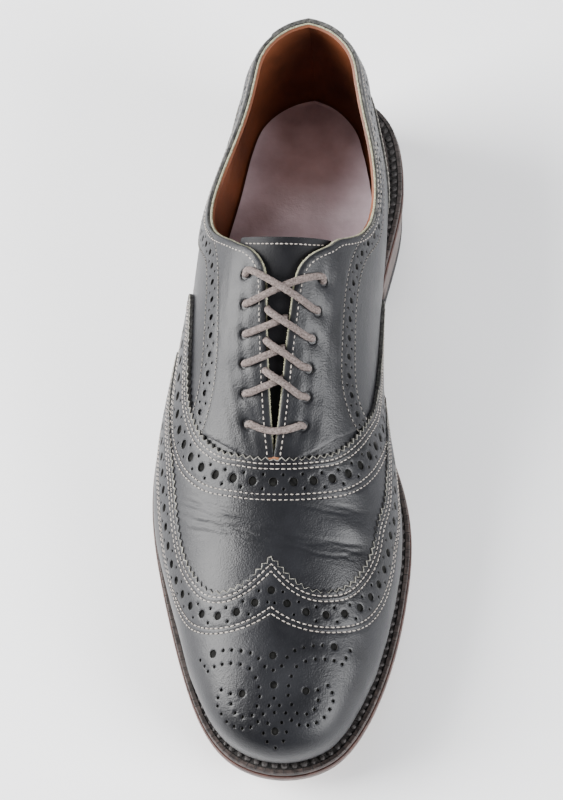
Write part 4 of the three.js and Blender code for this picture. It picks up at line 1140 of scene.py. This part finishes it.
def facing(name, rows, side, eyes, slot):
    """A facing with its band of holes, eyelets and the leather pulled in round them."""
    low = edge_points(rows, side, to_side)
    v = collar_places(120, 160, 90)
    free = to_side(v, side, free_edge(v, side))
    free_r = resample(free, 1.0)
    low_r = resample(low, 1.2)
    end_v = np.linspace(rows[-1][0], v[-1], 20)[1:-1]
    end_h = np.linspace(rows[-1][1], 1.0, 20)[1:-1]
    end = to_side(end_v, side, end_h)
    boundary = np.vstack([low_r, end, free_r[::-1][1:]])
    hole_line = resample(low, 0.7)
    band = [offset(hole_line, side * d) for d in BAND_SEAMS]
    rim = offset(free, -side * 2.3)
    rim = rim[np.abs(rim[:, 0]) > 16]
    holes = hole_row(offset(hole_line, side * BAND_ROW), 7.5, 0.5, 1.2, 0.52, 1.75, (14, 4))
    spots = []
    for eye_v, eye_x in eyes:
        h = share_at_reach(np.array([eye_v]), side, eye_x * BALL_WIDTH)
        c = to_side(np.array([eye_v]), side, h)[0]
        spots.append(c)
        holes.append((*c, EYE_HOLE))
    spots = np.array(spots)

    def relief(xy, p):
        d = np.hypot(xy[:, None, 0] - spots[None, :, 0], xy[:, None, 1] - spots[None, :, 1])
        pull = -0.6 * np.exp(-(d / 4.0) ** 2).sum(1)
        near = np.exp(-(d.min(1) / 10.0) ** 2)
        folds = 0.10 * np.sin(xy[:, 0] * 0.42 + xy[:, 1] * 0.25) * near
        folds += 0.09 * np.sin(xy[:, 1] * 1.25 + 1.1 * np.sin(xy[:, 0] * 0.10) + 0.6) * near
        return pull + folds + 0.05 * np.sin(xy[:, 0] * 0.21 + 1.0) * np.sin(xy[:, 1] * 0.33)

    looks = [BLACK, EDGE_BLACK]
    obj = panel(name, boundary, from_side, FACING_TOP, -0.2, looks, holes, band, 1.25, relief)
    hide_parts(slot)
    grey_seams.extend((line, from_side, FACING_TOP - SEAM_SINK) for line in band)
    seams.append((rim, from_side, FACING_TOP - SEAM_SINK))


facing("facing_lateral_leather", BAND_LATERAL, -1, EYES_LATERAL, "facing_lateral")
facing("facing_medial_leather", BAND_MEDIAL, 1, EYES_MEDIAL, "facing_medial")

# Heel counter
counter = rows_curve(COUNTER, 10)
lateral = counter[counter[:, 0] < 0]
medial = counter[counter[:, 0] >= 0]
counter_line = np.vstack([to_side(-lateral[:, 0], -1, lateral[:, 1]), to_side(medial[:, 0], 1, medial[:, 1])])
counter_gimp = gimp(counter_line)
low_w = np.linspace(counter_line[-1, 0], counter_line[0, 0], 120)[1:-1]
counter_boundary = np.vstack([counter_gimp, np.column_stack([low_w, np.full(len(low_w), -1.2)])])
counter_seams = [offset(counter_line, -d) for d in COUNTER_SEAMS]
counter_holes = hole_row(offset(counter_line, -COUNTER_ROW), 7.4, trim=(3, 3))
counter_holes = [h for h in counter_holes if h[1] > 3]
heel_counter = panel(
    "heel_counter_leather", counter_boundary, from_side, COUNTER_TOP, -0.2,
    [BLACK, EDGE_BLACK],
    holes=counter_holes, grooves=counter_seams, pitch=2.2,
)
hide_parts("heel_counter")
seams += [(line, from_side, COUNTER_TOP - SEAM_SINK) for line in counter_seams]

# Back strap
strap = rows_curve(STRAP, 8)
top_h = float(free_edge(np.array([0.0]), 1)[0])
strap = strap[strap[:, 0] < top_h - 0.004]
right_side = to_side(strap[:, 1], 1, strap[:, 0])
left_side = to_side(strap[:, 1], -1, strap[:, 0])
strap_top_v = np.linspace(strap[-1, 1], 0, 12)
top_right = to_side(strap_top_v, 1, free_edge(strap_top_v, 1))
top_left = to_side(strap_top_v[::-1], -1, free_edge(strap_top_v[::-1], -1))
strap_boundary = np.vstack([right_side, top_right, top_left[1:], left_side[::-1]])
strap_boundary = resample(strap_boundary, 1.0, closed=True)
back_strap = panel(
    "back_strap_leather", strap_boundary, from_side, STRAP_TOP, -0.2,
    [BLACK, EDGE_BLACK], pitch=1.6,
)
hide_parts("back_strap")

cut_edge("counter_cut_edge", counter_gimp, from_side, COUNTER_TOP)

# Stitches, and dark blobs between them as painted shade in the needle holes
tongue_x = np.linspace(-19, 19, 60)
tongue_along = TONGUE_FROM * LENGTH - TONGUE_DIP * (tongue_x / TONGUE_REACH) ** 2 + 2.7
tongue_row = np.column_stack([tongue_along, tongue_x * 1.03])
TONGUE_DEEP = WALL + 1.2
verts, faces = stitch_mesh(seams + [(tongue_row, from_top, -TONGUE_DEEP)])
mesh_object("seam_stitches", verts, faces, [THREAD])
verts, faces = stitch_mesh(grey_seams, length=1.5, radius=0.19)
mesh_object("facing_stitches", verts, faces, [THREAD_GREY])
verts, faces = stitch_mesh(seams + grey_seams, length=0.6, radius=0.26, gap=True, segs=5)
mesh_object("needle_hole_painted_shades", verts, faces, [NEEDLE_SHADE])


def base_upper():
    """Outer skin, rim and lining of the upper."""
    v = collar_places(90, 90, 70, 90)
    m = 40
    k = len(v)
    verts, faces, index = [], [], []
    base = 0
    for side in (-1, 1):
        h = np.linspace(-0.03, 1, m)[None, :] * free_edge(v, side)[:, None]
        p, n = grid_points(np.repeat(v[:, None], m, 1), side, h)
        inner = p - n * WALL
        up = np.gradient(p, axis=1)[:, -1]
        up /= np.linalg.norm(up, axis=1, keepdims=True) + 1e-9
        crest = p[:, -1] - n[:, -1] * (WALL * 0.3) + up * 0.12
        verts += [p.reshape(-1, 3), inner.reshape(-1, 3), p[:, -1], crest, inner[:, -1]]
        skins = grid_faces(base, k, m, side > 0)
        faces += skins + grid_faces(base + k * m, k, m, side < 0)
        index += [0] * len(skins) + [1] * len(skins)
        open_to = int(np.sum(v[:-1] < SLIT_END))
        base += 2 * k * m
        for kind in (0, 1):
            for a in range(base + kind * k, base + kind * k + open_to):
                quad = (a, a + 1, a + k + 1, a + k)
                faces.append(quad if side < 0 else quad[::-1])
                index.append(kind)
        base += 3 * k
    obj = mesh_object("upper_leather", np.vstack(verts), faces, [BLACK, LINING], index)
    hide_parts("upper")


# Raw edge of the collar: (depth, rise) of its four rows, and its thickness along the collar and the slit
RAW_ROWS = ((0.30, -0.1), (0.42, 0.45), (0.75, 0.5), (1.0, -0.1))
RAW_THICK = ((0.0, 0.30, 0.36, 0.43, 0.5, 0.64), (0.75, 0.9, 1.25, 1.25, 0.8, 0.6))
RAW_FUZZ = 0.13


def raw_rim():
    """The fuzzy cut edge between outer leather and lining, round collar and slit."""
    v = np.concatenate([collar_places(420, 420), np.linspace(COLLAR_STOPS[2], SLIT_END - 0.004, 320)[1:]])
    k = len(v)
    verts, faces = [], []
    thin = np.interp(v, *RAW_THICK)
    for part, side in enumerate((-1, 1)):
        top = free_edge(v, side)
        p, n = grid_points(v, side, top)
        low, _ = grid_points(v, side, top - 0.004)
        up = p - low
        up /= np.linalg.norm(up, axis=1, keepdims=True) + 1e-9
        for share, rise in RAW_ROWS:
            fuzz = RAW_FUZZ * RNG.normal(0, 1, (k, 1))
            deep = 0.3 + (share - 0.3) * 1.6 * thin
            verts.append(p - n * deep[:, None] + up * (rise + fuzz))
        faces += grid_faces(part * len(RAW_ROWS) * k, len(RAW_ROWS), k, side < 0)
    mesh_object("collar_raw_edge", np.vstack(verts), faces, [RAW_EDGE])


def grid_points(v, side, h):
    """Points and normals of the last on a grid of places."""
    p = last(v, side, h)
    e = 0.002
    v0 = np.clip(v - e, 0, 1)
    v1 = np.clip(v + e, 0, 1)
    hh = np.minimum(h, 1 - e)
    vm = np.where((v > TOE_POLE) & (h > 1 - 2 * e), TOE_POLE, v)
    v0 = np.where(vm != v, TOE_POLE - e, v0)
    v1 = np.where(vm != v, TOE_POLE, v1)
    a = last(v1, side, hh) - last(v0, side, hh)
    b = last(vm, side, hh + e) - last(vm, side, hh - e)
    n = np.cross(a, b) * -side
    n /= np.linalg.norm(n, axis=-1, keepdims=True) + 1e-12
    return p, n


def over_ridge(v, aside):
    """Points and normals of the last by place along and signed distance from the ridge."""
    reach = np.abs(aside)
    pl, nl = grid_points(v, -1, share_at_reach(v, -1, reach))
    pm, nm = grid_points(v, 1, share_at_reach(v, 1, reach))
    left = (aside < 0)[..., None]
    return np.where(left, pl, pm), np.where(left, nl, nm)


base_upper()
raw_rim()


def outline_at(row, inset):
    """Points of the sole's outline at table rows, moved inwards."""
    def at(r):
        r = np.mod(r, LAST_ROW)
        i = np.clip(np.floor(r).astype(int), 0, LAST_ROW - 1)
        t = loop_at[i] + (r - i) * (loop_at[i + 1] - loop_at[i])
        return np.column_stack([loop_u(t), loop_x(t)])

    p = at(row)
    d = at(row + 0.02) - at(row - 0.02)
    d /= np.hypot(d[:, 0], d[:, 1])[:, None]
    return np.column_stack([p[:, 0] - d[:, 1] * inset, p[:, 1] + d[:, 0] * inset])


def sole_ring(inset, height, until, per):
    """Closed ring of points inside the sole's outline, up to a row on both sides."""
    rows = np.append(np.arange(0, until, 1 / per), until)
    both_rows = np.concatenate([rows, LAST_ROW - rows[::-1]])
    p = outline_at(both_rows, inset)
    return np.column_stack([p[:, 1] - MIDDLE, LENGTH / 2 - p[:, 0], height(p[:, 0] / LENGTH)])


def stack(name, rings, mats, cap=(True, True), bands=None, until=None, per=14):
    """A closed form through rings of (inset, height), with caps below and above."""
    loops = [sole_ring(inset, height, until or UNTIL, per) for inset, height in rings]
    n = len(loops[0])
    verts = np.vstack(loops)
    faces, index = [], []
    for k in range(len(loops) - 1):
        a = k * n
        faces += [(a + i, a + n + i, a + n + (i + 1) % n, a + (i + 1) % n) for i in range(n)]
        index += [bands[k] if bands else 0] * n
    half = n // 2
    for base, flip, on in ((0, True, cap[0]), ((len(loops) - 1) * n, False, cap[1])):
        if not on:
            continue
        for i in range(half - 1):
            quad = (base + i, base + i + 1, base + n - 2 - i, base + n - 1 - i)
            faces.append(quad if flip else quad[::-1])
            index.append(min(1, len(mats) - 1))
    obj = mesh_object(name, verts, faces, mats, index)
    obj.data.set_sharp_from_angle(angle=SHARP)
    return obj


def above(rise):
    """Height of a level over the sole's underside."""
    return lambda s: underside(s) + rise


def on_sole(rise):
    """Height of a level over the outsole."""
    return above(OUTSOLE + rise)


def level(height):
    """A flat level over the floor."""
    return lambda s: np.full(np.shape(s), height)


SHARP = math.radians(35)
UNTIL = len(OUTLINE) - 1
HEEL_UNTIL = float(np.interp(HEEL_LENGTH / LENGTH, OUTLINE[:, 0], np.arange(len(OUTLINE))))
WELT_STEPS = 40
outsole = stack("outsole_leather", [
    (1.2, above(0.0)), (0.3, above(0.5)), (0.0, above(1.6)),
    (0.0, on_sole(-0.9)), (0.35, on_sole(0.0)), (6.0, on_sole(0.0)),
], [SOLE_EDGE, TREAD, SOLE_TOP], cap=(True, False), bands=(1, 0, 0, 2, 2))
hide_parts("outsole")
welt = stack("welt_strip", [
    (1.2, on_sole(0.0)), (0.75, on_sole(0.5)), (0.7, on_sole(WELT - 0.7)),
    (1.1, on_sole(WELT)), (2.5, on_sole(WELT + 0.05)), (2.8, on_sole(WELT - 0.45)),
    (5.9, on_sole(WELT - 0.45)), (6.2, on_sole(WELT + 0.1)), (12.5, on_sole(WELT)),
], [WELT_STRIP, WELT_STRIP, WELT_SHADE], (False, False), (0, 0, 0, 0, 2, 2, 2, 0), per=WELT_STEPS)


BAR_PITCH = 3.7


def bars(name, inner_at, outer_at, low, high, radius, squash, mat, skew):
    """Short bars across the welt at an even pitch."""
    a = sole_ring(inner_at, on_sole(low), UNTIL, WELT_STEPS)
    b = sole_ring(outer_at, on_sole(high), UNTIL, WELT_STEPS)
    run = run_of((a + b) / 2)
    count = int(run[-1] / BAR_PITCH)
    s = (np.arange(count) + 0.5) * run[-1] / count
    s = s + RNG.normal(0, 0.12, count)
    p = np.column_stack([np.interp(s - skew, run, a[:, k]) for k in range(3)])
    q = np.column_stack([np.interp(s + skew, run, b[:, k]) for k in range(3)])
    t = np.linspace(0, 1, 6)
    fat = np.sqrt(np.clip(1 - np.abs(2 * t - 1) ** 3 * 0.85, 0, 1))
    ang = 2 * np.pi * np.arange(8) / 8
    axis = (q - p) / np.linalg.norm(q - p, axis=1, keepdims=True)
    up = np.array([0, 0, 1.0])
    wide = np.cross(axis, up)
    wide /= np.linalg.norm(wide, axis=1, keepdims=True)
    size = radius * (1 + RNG.normal(0, 0.1, count))
    centre = p[:, None, :] + (q - p)[:, None, :] * t[None, :, None]
    ring = wide[:, None, None, :] * np.cos(ang)[None, None, :, None]
    ring = ring + up * squash * np.sin(ang)[None, None, :, None]
    v = centre[:, :, None, :] + ring * (size[:, None] * fat[None, :])[:, :, None, None]
    mesh_object(name, v.reshape(-1, 3), tube_faces(count, len(t), len(ang)), [mat])


bars("welt_stitches", 5.7, 2.9, WELT - 0.35, WELT - 0.2, 1.15, 0.75, WELT_CORD, 0.45)
# Dark bars across the welt's edge: painted shade of its notches
bars("welt_notch_painted_shades", 2.9, 0.65, WELT, WELT - 0.05, 0.24, 0.6, WELT_SHADE, 0.0)
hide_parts("welt")

rings = [(1.0, level(TOP_LIFT)), (0.9, above(0.2))]
heel = stack("heel_stack_leather", rings, [SOLE_EDGE, TREAD], until=HEEL_UNTIL)
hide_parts("heel_stack")
rings = [(1.6, level(0.0)), (0.9, level(0.8)), (0.9, level(TOP_LIFT - 0.3)), (1.3, level(TOP_LIFT))]
lift = stack("top_lift_rubber", rings, [RUBBER, RUBBER], until=HEEL_UNTIL)
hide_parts("top_lift")

# Wear of the pad: across, along from the heel, half lengths both ways and height in mm
PAD_WEAR = [
    (-2, 25, 8, 6, 0.9), (-4, 45, 7, 5, 0.9), (0, 51.5, 9, 3.2, -0.9), (14, 62, 9, 9, -0.8),
    (-16, 31, 3.5, 2.5, 0.5), (-18, 55, 8, 16, 0.5), (6, 38, 6, 10, -0.35),
    (-9, 72, 14, 7, 0.35), (8, 82, 9, 8, -0.5), (-3, 14, 12, 5, -0.5),
]


def insole():
    """A soft dished sheet inside the wall, worn by the foot."""
    n, m = 150, 36
    v = np.linspace(0, 1, n)
    rim = []
    for side in (-1, 1):
        oa, ox, wa, wx, wide, *_ = section(v, side)
        r = wide - SOLE_TUCK - WALL - 0.4
        rim.append(np.column_stack([oa + wa * r, ox + wx * r]))
    t = np.linspace(0, 1, m)
    a = rim[0][:, None, :] * (1 - t)[None, :, None] + rim[1][:, None, :] * t[None, :, None]
    s = a[..., 0] / LENGTH
    edge = np.minimum(t, 1 - t) * 2
    dish = 0.9 * (1 - edge) ** 3
    z = underside(s) + OUTSOLE + GAP + WELT + GAP + INSOLE - 0.6 + dish[None, :]
    x, y = a[..., 1], a[..., 0]
    for cx, cy, sx, sy, amp in PAD_WEAR:
        z = z + amp * np.exp(-((x - cx) / sx) ** 2 - ((y - cy) / sy) ** 2)
    verts = np.stack([x - MIDDLE, LENGTH / 2 - y, z], -1).reshape(-1, 3)
    obj = mesh_object("insole_leather", verts, grid_faces(0, n, m), [PAD])
    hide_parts("insole")


insole()


# Tongue: its half width at the top and its thickness
TONGUE_HALF = 22.0
TONGUE_THICK = 2.0


def tongue():
    """The tongue under the facings, with the raw edge at its top."""
    n, m = 90, 40
    t = np.linspace(0, 1, n)
    v = TONGUE_FROM + (TONGUE_TO - TONGUE_FROM) * t
    half = TONGUE_HALF * (1 - 0.35 * t) * np.minimum(1, 0.9 + t * 2)
    gx = half[:, None] * np.linspace(-1, 1, m)[None, :]
    dip = TONGUE_DIP / LENGTH * (gx / TONGUE_REACH) ** 2 * ((1 - t) ** 4)[:, None]
    vv = np.repeat(v[:, None], m, 1) - dip
    p, nrm = over_ridge(vv, gx)
    top = p - nrm * TONGUE_DEEP
    low = p - nrm * (TONGUE_DEEP + TONGUE_THICK)
    skin = p[0] - nrm[0] * (TONGUE_DEEP + 0.55)
    verts = np.vstack([top.reshape(-1, 3), low.reshape(-1, 3), top[0], skin, low[0]])
    faces = grid_faces(0, n, m) + grid_faces(n * m, n, m, True)
    index = [0] * len(faces) + [1] * (m - 1) + [2] * (m - 1)
    faces += grid_faces(2 * n * m, 3, m, True)
    obj = mesh_object("tongue_leather", verts, faces, [TONGUE_BLACK, RAW_EDGE, LINING], index)
    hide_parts("tongue")


tongue()


def eye_place(table, row, side):
    """Place of an eyelet in mm, along and across."""
    v, x = table[row]
    return np.array([v * LENGTH, side * x * BALL_WIDTH])


STEP = 0.35


def strand(points):
    """Smooth path over the ridge through (along, across, height over the last)."""
    pts = np.array(points, float)
    at = np.arange(len(pts))
    fine = np.linspace(0, len(pts) - 1, (len(pts) - 1) * 6 + 1)
    along, aside, height = [spline(at, pts[:, k])(fine) for k in range(3)]
    p, n = over_ridge(along / LENGTH, aside)
    p = p + n * height[:, None]
    run = run_of(p)
    t = np.arange(0, run[-1], STEP)
    return np.column_stack([spline(run, p[:, k])(t) for k in range(3)])


def cord_mesh(path, radius, segs=20):
    """A round braided cord along a path, a little flattened."""
    n = len(path)
    along = np.gradient(path, axis=0)
    along /= np.linalg.norm(along, axis=1, keepdims=True)
    u = np.cross(np.array([0, 0, 1.0]), along)
    u /= np.linalg.norm(u, axis=1, keepdims=True) + 1e-9
    w = np.cross(along, u)
    ang = 2 * np.pi * np.arange(segs) / segs
    run = np.arange(n) * STEP
    a = np.sin(5 * ang[None, :] + run[:, None] * 2.4)
    b = np.sin(5 * ang[None, :] - run[:, None] * 2.4)
    r = radius * (1 + 0.055 * np.maximum(a, b) - 0.02 + 0.01 * RNG.normal(0, 1, (n, segs)))
    r = r * (1 + 0.03 * np.sin(run * 0.31 + 1.0))[:, None]
    wide = u[:, None, :] * np.cos(ang)[None, :, None]
    high = w[:, None, :] * (CORD_FLAT * np.sin(ang))[None, :, None]
    v = path[:, None, :] + (wide + high) * r[..., None]
    return v.reshape(-1, 3), tube_faces(1, n, segs)


CORD_FLAT = 0.9
REST = FACING_TOP + LACE / 2 - 0.15


def from_eye(eye, s):
    """Rise out of an eyelet towards the slit."""
    return [
        (eye[0] + 0.2, eye[1] - s * 0.3, -2.6),
        (eye[0], eye[1], -0.3),
        (eye[0] - 0.2, eye[1] + s * 1.3, REST - 0.5),
        (eye[0] - 0.5, eye[1] + s * 3.4, REST),
    ]


def lace(name, points, *nodes):
    """One strand of the lace."""
    v, f = cord_mesh(strand(points), LACE / 2)
    obj = mesh_object(name, v, f, [LACE_STUFF])
    if nodes:
        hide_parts(*nodes)


eL = [eye_place(EYES_LATERAL, i, -1) for i in range(6)]
eM = [eye_place(EYES_MEDIAL, i, 1) for i in range(6)]
middle = (eL[5][0] + 2.6, 0.0, REST - 0.2)
bar = from_eye(eL[5], 1) + [middle] + from_eye(eM[5], -1)[::-1]
bar = [(x + (1.3 if i in (3, 5) else 0), y, z) for i, (x, y, z) in enumerate(bar)]
lace("lace_bar_cord", bar, "lace_bar")
UNDER = ((-2.5, -3.0, REST - 0.1), (-4.2, 1.0, REST - 1.7), (-5.2, 3.4, -2.4))
OVER = ((-4.0, 3.0, REST + 1.4), (-7.2, -2.4, REST + 0.3), (-9.2, -5.2, -2.2))
for row, node_name in ((4, "lace_crossing_1"), (3, "lace_crossing_2"), (2, "lace_crossing_3")):
    under_l = from_eye(eL[row], 1) + [(eL[row][0] + x, y, z) for x, y, z in UNDER]
    over_m = from_eye(eM[row], -1) + [(eM[row][0] + x, y, z) for x, y, z in OVER]
    lace(node_name + "_under", under_l, node_name)
    lace(node_name + "_over", over_m)
over = from_eye(eL[0], 1) + [(eL[0][0] + 5.5, 0.0, REST + 1.9)] + from_eye(eM[1], -1)[::-1]
under_t = from_eye(eM[0], -1) + [(eM[0][0] + 5.5, 0.0, REST - 0.3)] + from_eye(eL[1], 1)[::-1]
lace("lace_top_over", over, "lace_crossing_4")
lace("lace_top_under", under_t)

# Floor
floor_mat, floor_nt, floor_bsdf = material("floor_pale", (0.86, 0.86, 0.87), 0.75, 0.2)
floor_noise = node(floor_nt, "ShaderNodeTexNoise", Scale=3.0, Detail=2.0)
floor_bsdf.inputs["Emission Color"].default_value = (1, 1, 1, 1)
floor_bsdf.inputs["Emission Strength"].default_value = 0.05
FLOOR_TONES = [(0.3, (0.85, 0.85, 0.86)), (0.7, (0.88, 0.88, 0.89))]
floor_tone = ramp(floor_nt, floor_noise.outputs["Fac"], FLOOR_TONES)
floor_nt.links.new(floor_tone, floor_bsdf.inputs["Base Color"])
floor_mesh = bpy.data.meshes.new("floor")
floor_mesh.from_pydata([(-4, -4, 0), (4, -4, 0), (4, 4, 0), (-4, 4, 0)], [], [(0, 1, 2, 3)])
floor_mesh.materials.append(floor_mat)
floor = bpy.data.objects.new("floor", floor_mesh)
bpy.context.scene.collection.objects.link(floor)

# Camera at the photo's angle to this shoe
ELEV = math.radians(64.0)
YAW = math.radians(1.3808)
SHOE_AT = np.array([-49.008, 2.687])
FOCAL = 2203.0
PICTURE_HIGH = 800.0
PICTURE_MIDDLE = 281.5
SHOE_MIDDLE = 145.0
SENSOR = 36.0
back_dir = np.array([0, -math.cos(ELEV), math.sin(ELEV)])
up_dir = np.array([0, math.sin(ELEV), math.cos(ELEV)])
cam_at = np.array([0, 0, 40.0]) + back_dir * 900.0


def to_part(w, point=True):
    """A place or direction of the photo's scene in the shoe's own axes."""
    d = np.array(w, float)
    if point:
        d[:2] -= SHOE_AT
    c, s = math.cos(YAW), math.sin(YAW)
    return np.array([d[0] * c - d[1] * s, d[0] * s + d[1] * c, d[2]])


b = to_part(back_dir, False)
u = to_part(up_dir, False)
r = np.cross(u, b)
cam = bpy.data.cameras.new("camera")
cam.sensor_fit = "AUTO"
cam.sensor_width = SENSOR
cam.lens = FOCAL / PICTURE_HIGH * SENSOR
cam.shift_x = (SHOE_MIDDLE - PICTURE_MIDDLE) / PICTURE_HIGH
cam.clip_start = 0.01
cam.clip_end = 20
cam_obj = bpy.data.objects.new("camera", cam)
bpy.context.scene.collection.objects.link(cam_obj)
m = Matrix((
    (r[0], u[0], b[0], 0),
    (r[1], u[1], b[1], 0),
    (r[2], u[2], b[2], 0),
    (0, 0, 0, 1),
))
m.translation = Vector(((to_part(cam_at) - np.array([MIDDLE, 0, 0])) * MM).tolist())
cam_obj.matrix_world = m
bpy.context.scene.camera = cam_obj


def area(name, at, target, size, power, color=(1, 1, 1), size_y=None):
    """A soft lamp aimed at a target."""
    light = bpy.data.lights.new(name, "AREA")
    light.energy = power
    light.color = color
    light.size = size
    if size_y:
        light.shape = "RECTANGLE"
        light.size_y = size_y
    obj = bpy.data.objects.new(name, light)
    obj.location = at
    obj.rotation_euler = (Vector(target) - Vector(at)).to_track_quat("-Z", "Y").to_euler()
    bpy.context.scene.collection.objects.link(obj)


area("key_left", (-1.15, -0.05, 0.70), (0, 0, 0.04), 0.9, 84, (1, 0.995, 0.985), 1.1)
area("key_right", (1.08, -0.55, 0.66), (0, 0, 0.04), 0.8, 44, (0.985, 0.99, 1.0), 0.8)
area("top_back", (-0.10, 0.95, 0.85), (0, 0, 0.04), 0.7, 9, (0.97, 0.98, 1.0))
world = bpy.data.worlds.new("studio")
world.use_nodes = True
sky = world.node_tree
direction = sky.nodes.new("ShaderNodeTexCoord")
parts = sky.nodes.new("ShaderNodeSeparateXYZ")
sky.links.new(direction.outputs["Generated"], parts.inputs["Vector"])
spread = node(sky, "ShaderNodeMapRange", None, **{"From Min": -1.0, "From Max": 1.0})
sky.links.new(parts.outputs["X"], spread.inputs["Value"])
SKY = [(0.0, (1.0, 1.0, 1.0)), (0.45, (0.60, 0.61, 0.64)), (1.0, (0.20, 0.205, 0.22))]
tone = ramp(sky, spread.outputs["Result"], SKY)
sky.links.new(tone, sky.nodes["Background"].inputs["Color"])
sky.nodes["Background"].inputs["Strength"].default_value = 0.34
bpy.context.scene.world = world
